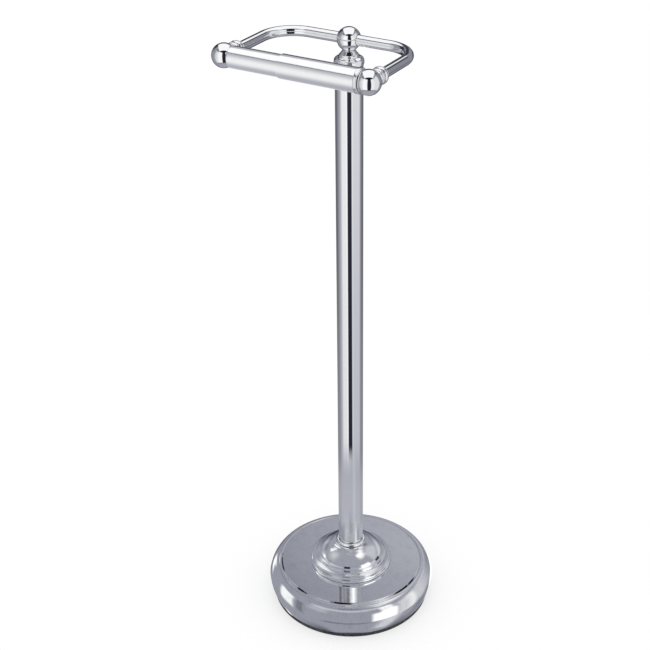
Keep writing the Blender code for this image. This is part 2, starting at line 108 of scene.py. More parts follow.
class Section:
    """The outline of a turned piece, drawn from point to point as radius and height."""

    def __init__(self, radius: float, height: float) -> None:
        """Starts the outline.

        Args:
            radius: Distance of the first point from the axis.
            height: Height of the first point.
        """
        self.points: list[Point] = [(radius, height)]

    def line(self, *points: Point) -> "Section":
        """Goes straight from point to point.

        Args:
            points: The corners, as radius and height.

        Returns:
            The section itself.
        """
        self.points.extend(points)
        return self

    def arc(self, centre: Point, radii: Point, start: float, end: float, steps: int = 10) -> "Section":
        """Goes along an elliptical arc.

        Args:
            centre: The arc's centre.
            radii: The arc's reach across and up.
            start: First angle in degrees, from the outward direction.
            end: Last angle in degrees.
            steps: Number of pieces that the arc is cut into.

        Returns:
            The section itself.
        """
        for step in range(steps + 1):
            angle = math.radians(start + (end - start) * step / steps)
            point = (centre[0] + radii[0] * math.cos(angle), centre[1] + radii[1] * math.sin(angle))
            if math.dist(point, self.points[-1]) > NEAR:
                self.points.append(point)
        return self

    def rounded(self, corner: Corner, point: Point, edge: float, steps: int) -> "Section":
        """Goes round an outer corner.

        Args:
            corner: Which corner it is.
            point: Where its two sides would meet.
            edge: Radius of the rounding.
            steps: Number of pieces that it is cut into.

        Returns:
            The section itself.
        """
        start, end = corner.value
        inward = -edge if start + end > 0.0 else edge
        return self.arc((point[0] - edge, point[1] + inward), (edge, edge), start, end, steps)

    def flow(self, *points: Point, steps: int = 6) -> "Section":
        """Goes along a smooth curve from the last point through others.

        Args:
            points: The points that the curve passes through.
            steps: Number of pieces between two of them.

        Returns:
            The section itself.
        """
        knots = [self.points[-1], self.points[-1], *points, points[-1]]
        for spans in zip(knots, knots[1:], knots[2:], knots[3:]):
            for step in range(1, steps + 1):
                self.points.append(tuple(self._between(*parts, step / steps) for parts in zip(*spans)))
        return self

    @staticmethod
    def _between(before: float, here: float, there: float, after: float, share: float) -> float:
        """A value on the smooth curve from here to there.

        Args:
            before: The knot before here.
            here: The knot that the curve starts from.
            there: The knot that it ends on.
            after: The knot after there.
            share: How far along it lies.

        Returns:
            The value.
        """
        rise = there - before
        bend = 2 * before - 5 * here + 4 * there - after
        twist = 3 * here - before - 3 * there + after
        return 0.5 * (2 * here + rise * share + bend * share**2 + twist * share**3)


@dataclass(frozen=True)
class Lathe:
    """Turns sections into meshes.

    A straight that is longer than flat gets a ring at the distance hold from both of its ends, which keeps
    its shading straight.
    """

    segments: int = 96
    flat: float = 0.0025
    hold: float = 0.00015

    def turn(self, name: str, section: Section, ring: bool = True) -> Piece:
        """Turns a section about Z.

        Args:
            name: Name of the piece.
            section: The outline.
            ring: Whether the outline closes on itself round a bore, or ends on the axis.

        Returns:
            The new piece, linked to the scene.
        """
        form = bmesh.new()
        rings = [self._ring(form, radius, height) for radius, height in self._held(section.points)]
        pairs = list(zip(rings, rings[1:]))
        if ring:
            pairs.append((rings[-1], rings[0]))
        for lower, upper in pairs:
            self._skin(form, lower, upper)
        bmesh.ops.recalc_face_normals(form, faces=form.faces)
        return linked(name, form)

    def _held(self, points: list[Point]) -> list[Point]:
        """Adds the points near the ends of long straights.

        Args:
            points: The outline.

        Returns:
            The outline with those points.
        """
        held = points[:1]
        for here, there in zip(points, points[1:]):
            length = math.dist(here, there)
            if length > self.flat:
                for share in (self.hold / length, 1.0 - self.hold / length):
                    held.append(tuple(a + (b - a) * share for a, b in zip(here, there)))
            held.append(there)
        return held

    def _ring(self, form: Form, radius: float, height: float) -> list[bmesh.types.BMVert]:
        """Adds one ring of points, or a single one on the axis.

        Args:
            form: The form that is being built.
            radius: The ring's radius.
            height: The ring's height.

        Returns:
            The ring's points.
        """
        if radius < NEAR:
            return [form.verts.new((0.0, 0.0, height))]
        angles = [math.tau * step / self.segments for step in range(self.segments)]
        spots = [(radius * math.cos(angle), radius * math.sin(angle), height) for angle in angles]
        return [form.verts.new(spot) for spot in spots]

    def _skin(self, form: Form, lower: list[bmesh.types.BMVert], upper: list[bmesh.types.BMVert]) -> None:
        """Adds the faces between two rings.

        Args:
            form: The form that is being built.
            lower: Points of the one ring.
            upper: Points of the other ring.
        """
        count = max(len(lower), len(upper))
        if count == 1:
            return
        for step in range(count):
            following = (step + 1) % count
            corners = [lower[step % len(lower)], lower[following % len(lower)]]
            corners += [upper[following % len(upper)], upper[step % len(upper)]]
            form.faces.new(list(dict.fromkeys(corners)))


def linked(name: str, form: Form) -> Piece:
    """Turns a form into a smooth object of the scene.

    Args:
        name: Name of the piece.
        form: The form, which is freed.

    Returns:
        The new object.
    """
    mesh = bpy.data.meshes.new(name)
    form.to_mesh(mesh)
    form.free()
    mesh.shade_smooth()
    mesh.set_sharp_from_angle(angle=SHARP_ANGLE)
    piece = bpy.data.objects.new(name, mesh)
    bpy.context.scene.collection.objects.link(piece)
    return piece


def laid(piece: Piece, axis: Axis, origin: Place) -> Piece:
    """Moves a turned piece's points so that its axis points another way from an origin.

    Args:
        piece: The piece, whose object stays at the scene's origin.
        axis: The way its own height then points.
        origin: Where its own zero then lies.

    Returns:
        The piece.
    """
    turn = UP.rotation_difference(Vector(axis.value))
    piece.data.transform(Matrix.Translation(Vector(origin)) @ turn.to_matrix().to_4x4())
    return piece


@dataclass(frozen=True)
class Station:
    """One ring of a swept rod or wire: its centre, two directions across it and its radius."""

    place: Vector
    side: Vector
    above: Vector
    radius: float


def swept(name: str, stations: Sequence[Station], sides: int) -> Piece:
    """Sweeps a round rod or wire through stations, with closed ends.

    Args:
        name: Name of the piece.
        stations: The rings that the rod runs through.
        sides: Number of points in each ring.

    Returns:
        The new piece, linked to the scene.
    """
    form = bmesh.new()
    angles = [math.tau * step / sides for step in range(sides)]
    turns = [(math.cos(angle), math.sin(angle)) for angle in angles]
    rings = []
    for spot in stations:
        across, upright = spot.side * spot.radius, spot.above * spot.radius
        rings.append([form.verts.new(spot.place + across * over + upright * up) for over, up in turns])
    for before, after in zip(rings, rings[1:]):
        for step in range(sides):
            following = (step + 1) % sides
            form.faces.new((before[step], before[following], after[following], after[step]))
    form.faces.new(rings[0])
    form.faces.new(rings[-1])
    bmesh.ops.recalc_face_normals(form, faces=form.faces)
    return linked(name, form)


class Graph:
    """A small helper that places and joins shader nodes."""

    def __init__(self, tree: bpy.types.NodeTree) -> None:
        """Keeps the tree that nodes go into."""
        self.tree = tree

    def node(self, kind: str, **inputs: object) -> bpy.types.Node:
        """Adds a node.

        Args:
            kind: Blender's name of the node.
            inputs: Values or sockets for its inputs, by their names in lower case with underscores, and
                settings of the node itself by their own names.

        Returns:
            The new node.
        """
        made = self.tree.nodes.new(kind)
        own = set(made.bl_rna.properties.keys()) - set(bpy.types.Node.bl_rna.properties.keys())
        for key, value in inputs.items():
            if key in own:
                setattr(made, key, value)
        for key, value in inputs.items():
            if key not in own:
                self.feed(made, key, value)
        return made

    def feed(self, made: bpy.types.Node, key: str, value: object) -> None:
        """Sets one input of a node, or joins a socket to it.

        Args:
            made: The node.
            key: The input's name in lower case with underscores, or in_ and its number.
            value: A value, or the output socket of another node.
        """
        if key.startswith("in_"):
            socket = made.inputs[int(key[3:])]
        else:
            socket = next(s for s in made.inputs if s.name.lower().replace(" ", "_") == key and s.enabled)
        if isinstance(value, Socket):
            self.tree.links.new(value, socket)
        else:
            socket.default_value = value

    def math(self, operation: str, first: object, second: object = 0.0) -> Socket:
        """A calculation on two numbers, and its result."""
        return self.node("ShaderNodeMath", operation=operation, in_0=first, in_1=second).outputs[0]

    def spread(self, value: Socket, low: float, high: float) -> Socket:
        """A smooth step from 0 at one value to 1 at another."""
        inputs = {"interpolation_type": "SMOOTHSTEP", "value": value, "from_min": low, "from_max": high}
        return self.node("ShaderNodeMapRange", **inputs).outputs[0]

    def place(self) -> Socket:
        """The shaded point, in the piece's own frame."""
        return self.node("ShaderNodeTexCoord").outputs["Object"]

    def parts(self, vector: Socket) -> Outputs:
        """The X, Y and Z of a vector."""
        return self.node("ShaderNodeSeparateXYZ", vector=vector).outputs

    def noise(self, **inputs: object) -> Socket:
        """A noise texture, from 0 to 1."""
        return self.node("ShaderNodeTexNoise", **inputs).outputs[0]

    def mixed(self, share: object, first: object, second: object) -> Socket:
        """The colour at a share of the way from one to another."""
        return self.node("ShaderNodeMix", data_type="RGBA", in_0=share, in_6=first, in_7=second).outputs[2]

    def between(self, share: Socket, first: object, second: object) -> Socket:
        """The number at a share of the way from one to another."""
        return self.node("ShaderNodeMapRange", value=share, to_min=first, to_max=second).outputs[0]

    def bearing(self, parts: Outputs) -> Socket:
        """The angle round Z, in degrees from X."""
        return self.math("DEGREES", self.math("ARCTAN2", parts["Y"], parts["X"]))


class Effect:
    """A shader node group with named inputs and outputs, built once."""

    def __init__(self, name: str, inputs: dict[str, object], outputs: Sequence[str]) -> None:
        """Makes the empty group.

        Args:
            name: Name of the group.
            inputs: Value of each input by its name: a number, a vector or a colour.
            outputs: Name of each output.
        """
        self.tree = bpy.data.node_groups.new(name, "ShaderNodeTree")
        sockets = self.tree.interface
        for label, value in inputs.items():
            given = sockets.new_socket(label, in_out="INPUT", socket_type=self._kind(label, value))
            given.default_value = value
        for label in outputs:
            sockets.new_socket(label, in_out="OUTPUT", socket_type=self._kind(label))
        self.graph = Graph(self.tree)
        self.entry = self.tree.nodes.new("NodeGroupInput")
        self.exit = self.tree.nodes.new("NodeGroupOutput")

    @staticmethod
    def _kind(label: str, value: object = 0.0) -> str:
        """The type of a socket: by name where it is a colour, and otherwise by its value.

        Args:
            label: Name of the socket.
            value: Its value.

        Returns:
            Blender's name of the type.
        """
        if label.endswith("Colour"):
            return "NodeSocketColor"
        return "NodeSocketVector" if isinstance(value, tuple) else "NodeSocketFloat"

    def given(self, label: str) -> Socket:
        """The socket that one input's value comes from."""
        return self.entry.outputs[label]

    def give(self, label: str, value: Socket) -> None:
        """Sends a value out of the group."""
        self.tree.links.new(value, self.exit.inputs[label])

    def use(self, graph: Graph, **values: object) -> bpy.types.Node:
        """Places the group in a material.

        Args:
            graph: The material's graph.
            values: Values of the inputs, by their names in lower case with underscores.

        Returns:
            The group's node.
        """
        made = graph.tree.nodes.new("ShaderNodeGroup")
        made.node_tree = self.tree
        for key, value in values.items():
            graph.feed(made, key, value)
        return made


# Middle and half width, in degrees, of each arc of the groove that is darkened with painted shade and polish
# residue.
SHADE_AND_RESIDUE_ARCS = ((-145.0, 11.0), (-104.0, 5.0), (-68.0, 8.0), (-9.0, 13.0))


@dataclass
class Effects:
    """The effects that several finishes share.

    A range runs from the value that shows nothing to the value that shows everything. A scale is the number
    of features in a metre, and the tilt is in radians.
    """

    wipe_stretch: Place = (1.0, 1.0, 0.22)
    wipe_tilt: Place = (0.3, 0.2, 0.0)
    wipe_fineness: float = 5.0
    haze_range: Point = (0.2, 0.42)
    facing_range: Point = (0.55, 0.98)
    speck_scale: float = 900.0
    speck_range: Point = (0.5, 0.72)
    drift_scale: float = 34.0
    dust_roughness: float = 0.4
    wander_scale: float = 60.0
    wander_steps: float = 1.5
    broad_share: float = 0.07
    arc_range: Point = (1.3, 0.7)
    edge_range: Point = (0.62, 0.38)
    ragged_break_scale: float = 160.0
    ragged_break_range: Point = (0.25, 0.45)
    # Colour that paints shade and polish residue into the groove, and the roughness that it adds.
    shade_and_polish_colour: Colour = (0.03, 0.032, 0.04)
    shade_and_polish_roughness: float = 0.35
    splash_scale: float = 120.0
    splash_height: float = 0.004

    def __post_init__(self) -> None:
        """Builds each group."""
        self.handling = self._handling()
        self.dust = self._dust()
        self.turning = self._turning()
        self.groove_shade_and_residue = self._groove_shade_and_residue()
        self.film = self._film()

    def worn(self, graph: Graph, colours: tuple[Colour, Colour], rough: Point, sizes: Point) -> Outputs:
        """Places the handling marks in a material.

        Args:
            graph: The material's graph.
            colours: The clean colour and the hazy one.
            rough: The clean roughness and the hazy one.
            sizes: Size of the hazy patches and of the waves.

        Returns:
            The outputs Colour, Roughness and Height.
        """
        marks = self.handling.use(
            graph,
            clean_colour=(*colours[0], 1.0),
            hazy_colour=(*colours[1], 1.0),
            clean_roughness=rough[0],
            hazy_roughness=rough[1],
            patch_size=sizes[0],
            wave_size=sizes[1],
        )
        return marks.outputs

    def _handling(self) -> Effect:
        """Wiped haze and faint waves of plating: colour, roughness and height.

        Returns:
            The effect.
        """
        inputs = {
            "Clean Colour": (0.8, 0.8, 0.8, 1.0),
            "Hazy Colour": (0.7, 0.7, 0.7, 1.0),
            "Clean Roughness": 0.04,
            "Hazy Roughness": 0.1,
            "Patch Size": 0.03,
            "Wave Size": 0.012,
        }
        effect = Effect("handling_marks", inputs, ("Colour", "Roughness", "Height"))
        graph = effect.graph
        place = graph.place()
        patches = graph.math("DIVIDE", 1.0, effect.given("Patch Size"))
        cloud = graph.noise(vector=place, scale=patches, detail=4.0, roughness=0.62)
        way = {"scale": self.wipe_stretch, "rotation": self.wipe_tilt}
        wipes = graph.node("ShaderNodeMapping", vector=place, **way).outputs[0]
        fine = graph.math("MULTIPLY", patches, self.wipe_fineness)
        streaks = graph.noise(vector=wipes, scale=fine, detail=5.0)
        haze = graph.spread(graph.math("MULTIPLY", cloud, streaks), *self.haze_range)
        waves = graph.math("DIVIDE", 1.0, effect.given("Wave Size"))
        rough = (effect.given("Clean Roughness"), effect.given("Hazy Roughness"))
        effect.give("Colour", graph.mixed(haze, effect.given("Clean Colour"), effect.given("Hazy Colour")))
        effect.give("Roughness", graph.between(haze, *rough))
        effect.give("Height", graph.noise(vector=place, scale=waves, detail=1.0))
        return effect

    def _dust(self) -> Effect:
        """Fine dust that settles on faces that look up: colour and roughness.

        Returns:
            The effect.
        """
        inputs = {
            "Colour": (0.8, 0.8, 0.8, 1.0),
            "Roughness": 0.1,
            "Dust Colour": (0.6, 0.6, 0.6, 1.0),
            "Amount": 0.1,
        }
        effect = Effect("settled_dust", inputs, ("Colour", "Roughness"))
        graph = effect.graph
        place = graph.place()
        normal = graph.node("ShaderNodeNewGeometry").outputs["Normal"]
        facing = graph.spread(graph.parts(normal)["Z"], *self.facing_range)
        specks = graph.noise(vector=place, scale=self.speck_scale, detail=3.0, roughness=0.7)
        drifts = graph.noise(vector=place, scale=self.drift_scale, detail=3.0)
        mask = graph.math("MULTIPLY", graph.spread(specks, *self.speck_range), drifts)
        mask = graph.math("MULTIPLY", graph.math("MULTIPLY", mask, facing), effect.given("Amount"))
        self._cover(effect, mask, effect.given("Dust Colour"), self.dust_roughness)
        return effect

    def _turning(self) -> Effect:
        """Fine rings that a tool or brush leaves round an axis: a mask and a height.

        Returns:
            The effect.
        """
        inputs = {"Along": 0.0, "Around": (0.0, 0.0, 0.0), "Pitch": 0.0004}
        effect = Effect("turning_marks", inputs, ("Mask", "Height"))
        graph = effect.graph
        steps = graph.math("DIVIDE", effect.given("Along"), effect.given("Pitch"))
        wander = graph.noise(vector=effect.given("Around"), scale=self.wander_scale, detail=2.0)
        line = graph.math("ADD", steps, graph.math("MULTIPLY", wander, self.wander_steps))
        wide = graph.math("MULTIPLY", line, self.broad_share)
        fine = graph.noise(noise_dimensions="1D", w=line, scale=1.0, detail=4.0, roughness=0.7)
        broad = graph.noise(noise_dimensions="1D", w=wide, scale=1.0, detail=2.0)
        effect.give("Mask", graph.math("MULTIPLY", fine, broad))
        effect.give("Height", fine)
        return effect

    def _groove_shade_and_residue(self) -> Effect:
        """Painted shade in a groove round the axis, with dark polish residue: colour and roughness.

        Returns:
            The effect.
        """
        inputs = {"Colour": (0.8, 0.8, 0.8, 1.0), "Roughness": 0.1, "Radius": 0.07, "Width": 0.0006}
        effect = Effect("groove_residue", inputs, ("Colour", "Roughness"))
        graph = effect.graph
        place = graph.place()
        level = {"in_0": place, "in_1": (1.0, 1.0, 0.0)}
        flat = graph.node("ShaderNodeVectorMath", operation="MULTIPLY", **level).outputs[0]
        across = graph.node("ShaderNodeVectorMath", operation="LENGTH", in_0=flat).outputs["Value"]
        offset = graph.math("ABSOLUTE", graph.math("SUBTRACT", across, effect.given("Radius")))
        share = graph.math("DIVIDE", offset, effect.given("Width"))
        bearing = graph.bearing(graph.parts(place))
        left = 0.0
        for middle, reach in SHADE_AND_RESIDUE_ARCS:
            aside = graph.math("ABSOLUTE", graph.math("SUBTRACT", bearing, middle))
            within = graph.spread(graph.math("DIVIDE", aside, reach), *self.arc_range)
            left = graph.math("MAXIMUM", left, within)
        ragged = graph.noise(vector=place, scale=self.ragged_break_scale, detail=2.0)
        left = graph.math("MULTIPLY", left, graph.spread(ragged, *self.ragged_break_range))
        # The mask darkens the groove's arcs: painted shade there, and polish residue.
        mask = graph.math("MULTIPLY", graph.spread(share, *self.edge_range), left)
        self._cover(effect, mask, (*self.shade_and_polish_colour, 1.0), self.shade_and_polish_roughness)
        return effect

    def _cover(self, effect: Effect, mask: Socket, colour: object, roughness: float) -> None:
        """Lays something over the colour and the roughness that a group is given, and sends both out.

        Args:
            effect: The group.
            mask: One where it lies and zero elsewhere.
            colour: Its colour.
            roughness: What it adds to the roughness.
        """
        graph = effect.graph
        effect.give("Colour", graph.mixed(mask, effect.given("Colour"), colour))
        added = graph.math("MULTIPLY", mask, roughness)
        effect.give("Roughness", graph.math("ADD", effect.given("Roughness"), added))

    def _film(self) -> Effect:
        """A dull film that thickens down to a level near the floor: roughness.

        Returns:
            The effect.
        """
        inputs = {"Roughness": 0.1, "Level": 0.1, "Fade": 0.03, "Dullness": 0.3}
        effect = Effect("splash_film", inputs, ("Roughness",))
        graph = effect.graph
        place = graph.place()
        ragged = graph.noise(vector=place, scale=self.splash_scale, detail=2.0)
        splash = graph.math("MULTIPLY", ragged, self.splash_height)
        height = graph.math("ADD", graph.parts(place)["Z"], splash)
        above = graph.math("SUBTRACT", height, effect.given("Level"))
        over = graph.math("DIVIDE", above, effect.given("Fade"))
        duller = graph.math("SUBTRACT", effect.given("Dullness"), effect.given("Roughness"))
        added = graph.math("MULTIPLY", graph.spread(over, 1.0, 0.0), duller)
        effect.give("Roughness", graph.math("ADD", effect.given("Roughness"), added))
        return effect


class Coat:
    """A new material with its graph and its shader."""

    def __init__(self, name: str, metallic: float = 0.0) -> None:
        """Starts the material.

        Args:
            name: Name of the material.
            metallic: How much of it is metal, from 0 to 1.
        """
        self.made = bpy.data.materials.new(name)
        self.made.use_nodes = True
        self.graph = Graph(self.made.node_tree)
        self.shader = self.made.node_tree.nodes["Principled BSDF"]
        self.shader.inputs["Metallic"].default_value = metallic

    def join(self, colour: Socket, rough: Socket, height: Socket, depth: float) -> Material:
        """Sends a colour, a roughness and a relief to the shader.

        Args:
            colour: The colour.
            rough: The roughness.
            height: The relief, from 0 to 1.
            depth: How deep the relief goes.

        Returns:
            The finished material.
        """
        bump = self.graph.node("ShaderNodeBump", height=height, distance=depth, strength=1.0)
        self.graph.feed(self.shader, "base_color", colour)
        self.graph.feed(self.shader, "roughness", rough)
        self.graph.feed(self.shader, "normal", bump.outputs[0])
        return self.made


@dataclass(frozen=True)
class PolishedPlate:
    """Bright plating over polished metal. Dust, the groove's painted shade and polish residue, and film are
    left out where they are zero.
    """

    name: str
    clean: Colour = (0.92, 0.925, 0.935)
    hazy: Colour = (0.905, 0.912, 0.925)
    roughness: float = 0.012
    haze: float = 0.028
    patch: float = 0.03
    wave: float = 0.012
    ripple: float = 0.00002
    dust: float = 0.0
    dust_colour: Colour = (0.62, 0.62, 0.63)
    groove: float = 0.0
    groove_width: float = 0.0005
    film: float = 0.0
    film_fade: float = 0.045
    dullness: float = 0.2

    def material(self, effects: Effects) -> Material:
        """Builds the material.

        Args:
            effects: The shared groups.

        Returns:
            The material.
        """
        coat = Coat(self.name, metallic=1.0)
        graph = coat.graph
        sizes = (self.patch, self.wave)
        marks = effects.worn(graph, (self.clean, self.hazy), (self.roughness, self.haze), sizes)
        colour, rough = marks["Colour"], marks["Roughness"]
        if self.dust:
            settled = {"dust_colour": (*self.dust_colour, 1.0), "amount": self.dust}
            dusty = effects.dust.use(graph, colour=colour, roughness=rough, **settled).outputs
            colour, rough = dusty["Colour"], dusty["Roughness"]
        # The groove's dark ring: painted shade there, and polish residue.
        if self.groove:
            ring = {"radius": self.groove, "width": self.groove_width}
            groove_shaded = effects.groove_shade_and_residue.use(graph, colour=colour, roughness=rough, **ring).outputs
            colour, rough = groove_shaded["Colour"], groove_shaded["Roughness"]
        if self.film:
            depth = {"level": self.film, "fade": self.film_fade, "dullness": self.dullness}
            rough = effects.film.use(graph, roughness=rough, **depth).outputs["Roughness"]
        return coat.join(colour, rough, marks["Height"], self.ripple)


@dataclass(frozen=True)
class SatinPlate:
    """Brushed plating with fine rings round the roller's axis."""

    name: str
    colour: Colour = (0.92, 0.92, 0.93)
    dull: Colour = (0.85, 0.85, 0.87)
    roughness: float = 0.1
    dulling: float = 0.08
    pitch: float = 0.0003
    depth: float = 0.000004

    def material(self, effects: Effects) -> Material:
        """Builds the material.

        Args:
            effects: The shared groups.

        Returns:
            The material.
        """
        coat = Coat(self.name, metallic=1.0)
        graph = coat.graph
        place = graph.place()
        across = graph.parts(place)["X"]
        rings = effects.turning.use(graph, along=across, around=place, pitch=self.pitch).outputs
        colour = graph.mixed(rings["Mask"], (*self.colour, 1.0), (*self.dull, 1.0))
        rough = graph.between(rings["Mask"], self.roughness, self.roughness + self.dulling)
        return coat.join(colour, rough, rings["Height"], self.depth)


@dataclass(frozen=True)
class PlainMetal:
    """Bare metal with a grain: machined steel or a rough casting."""

    name: str
    light: Colour
    dark: Colour
    metallic: float
    roughness: float
    grain: float
    depth: float
    dulling: float = 0.2
    patch_grains: float = 8.0

    def material(self, effects: Effects) -> Material:
        """Builds the material.

        Args:
            effects: The shared groups.

        Returns:
            The material.
        """
        coat = Coat(self.name, self.metallic)
        rough = (self.roughness, min(1.0, self.roughness + self.dulling))
        sizes = (self.grain * self.patch_grains, self.grain)
        marks = effects.worn(coat.graph, (self.light, self.dark), rough, sizes)
        return coat.join(marks["Colour"], marks["Roughness"], marks["Height"], self.depth)


@dataclass(frozen=True)
class MouldedRubber:
    """Black moulded rubber with a fine grain and a little bloom."""

    name: str
    dark: Colour = (0.026, 0.026, 0.028)
    bloom: Colour = (0.05, 0.05, 0.053)
    roughness: float = 0.62
    dulling: float = 0.2
    patch: float = 0.02
    grain: float = 0.0009
    depth: float = 0.00006

    def material(self, effects: Effects) -> Material:
        """Builds the material.

        Args:
            effects: The shared groups.

        Returns:
            The material.
        """
        coat = Coat(self.name)
        rough = (self.roughness, self.roughness + self.dulling)
        marks = effects.worn(coat.graph, (self.dark, self.bloom), rough, (self.patch, self.grain))
        return coat.join(marks["Colour"], marks["Roughness"], marks["Height"], self.depth)


Recipe = PolishedPlate | SatinPlate | PlainMetal | MouldedRubber


@dataclass
class Workshop:
    """What every sub-assembly works with: the shared effects and the finishes by name."""

    effects: Effects
    finishes: dict[str, Material] = field(default_factory=dict)

    def finish(self, recipe: Recipe) -> Material:
        """The material of a finish, made the first time that it is asked for.

        Args:
            recipe: The finish.

        Returns:
            Its material.
        """
        if recipe.name not in self.finishes:
            self.finishes[recipe.name] = recipe.material(self.effects)
        return self.finishes[recipe.name]

    def coat(self, piece: Piece, recipe: Recipe) -> None:
        """Gives a piece its finish and no other."""
        piece.data.materials.clear()
        piece.data.materials.append(self.finish(recipe))

    def dress(self, piece: Piece, recipe: Recipe, body: Body, slot: Slot, nodes: Iterable[str]) -> Piece:
        """Gives a new piece its finish and its place in the frame.

        Args:
            piece: The piece.
            recipe: Its finish.
            body: The body that it rides on.
            slot: The record's slot of its finish; not used.
            nodes: The CAD nodes that it stands for.

        Returns:
            The piece.
        """
        self.coat(piece, recipe)
        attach(piece, body.value)
        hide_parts(*nodes)
        LOG.info("%s: %d faces on %s", piece.name, len(piece.data.polygons), body.value)
        return piece

    def recoat(self, node: str, recipe: Recipe) -> None:
        """Gives a CAD node that stays its finish."""
        self.coat(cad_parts[node], recipe)
        LOG.info("%s: kept", node)


BASE_PLATE = PolishedPlate(
    "base_plating",
    clean=(0.95, 0.955, 0.965),
    hazy=(0.84, 0.848, 0.866),
    haze=0.04,
    patch=0.01,
    ripple=0.00003,
    wave=0.016,
    dust=0.16,
    # The groove's dark ring of painted shade and polish residue, by radius and width.
    groove=0.0734,
    groove_width=0.0011,
)
TURNED_PLATE = PolishedPlate("turned_plating", ripple=0.00001, wave=0.006, patch=0.012)
POST_PLATE = PolishedPlate("post_plating", ripple=0.00001, wave=0.02, patch=0.04, film=0.085)
ROD_PLATE = PolishedPlate("rod_plating", ripple=0.00001, wave=0.012, patch=0.02)
ROLLER_SATIN = SatinPlate("roller_satin")
MACHINED = PlainMetal(
    "machined_steel",
    light=(0.56, 0.56, 0.57),
    dark=(0.44, 0.44, 0.45),
    metallic=1.0,
    roughness=0.3,
    grain=0.002,
    depth=0.00001,
)
CASTING = PlainMetal(
    "grey_casting",
    light=(0.07, 0.07, 0.075),
    dark=(0.035, 0.035, 0.038),
    metallic=0.75,
    roughness=0.55,
    grain=0.0015,
    depth=0.0001,
)
RUBBER = MouldedRubber("pad_rubber")


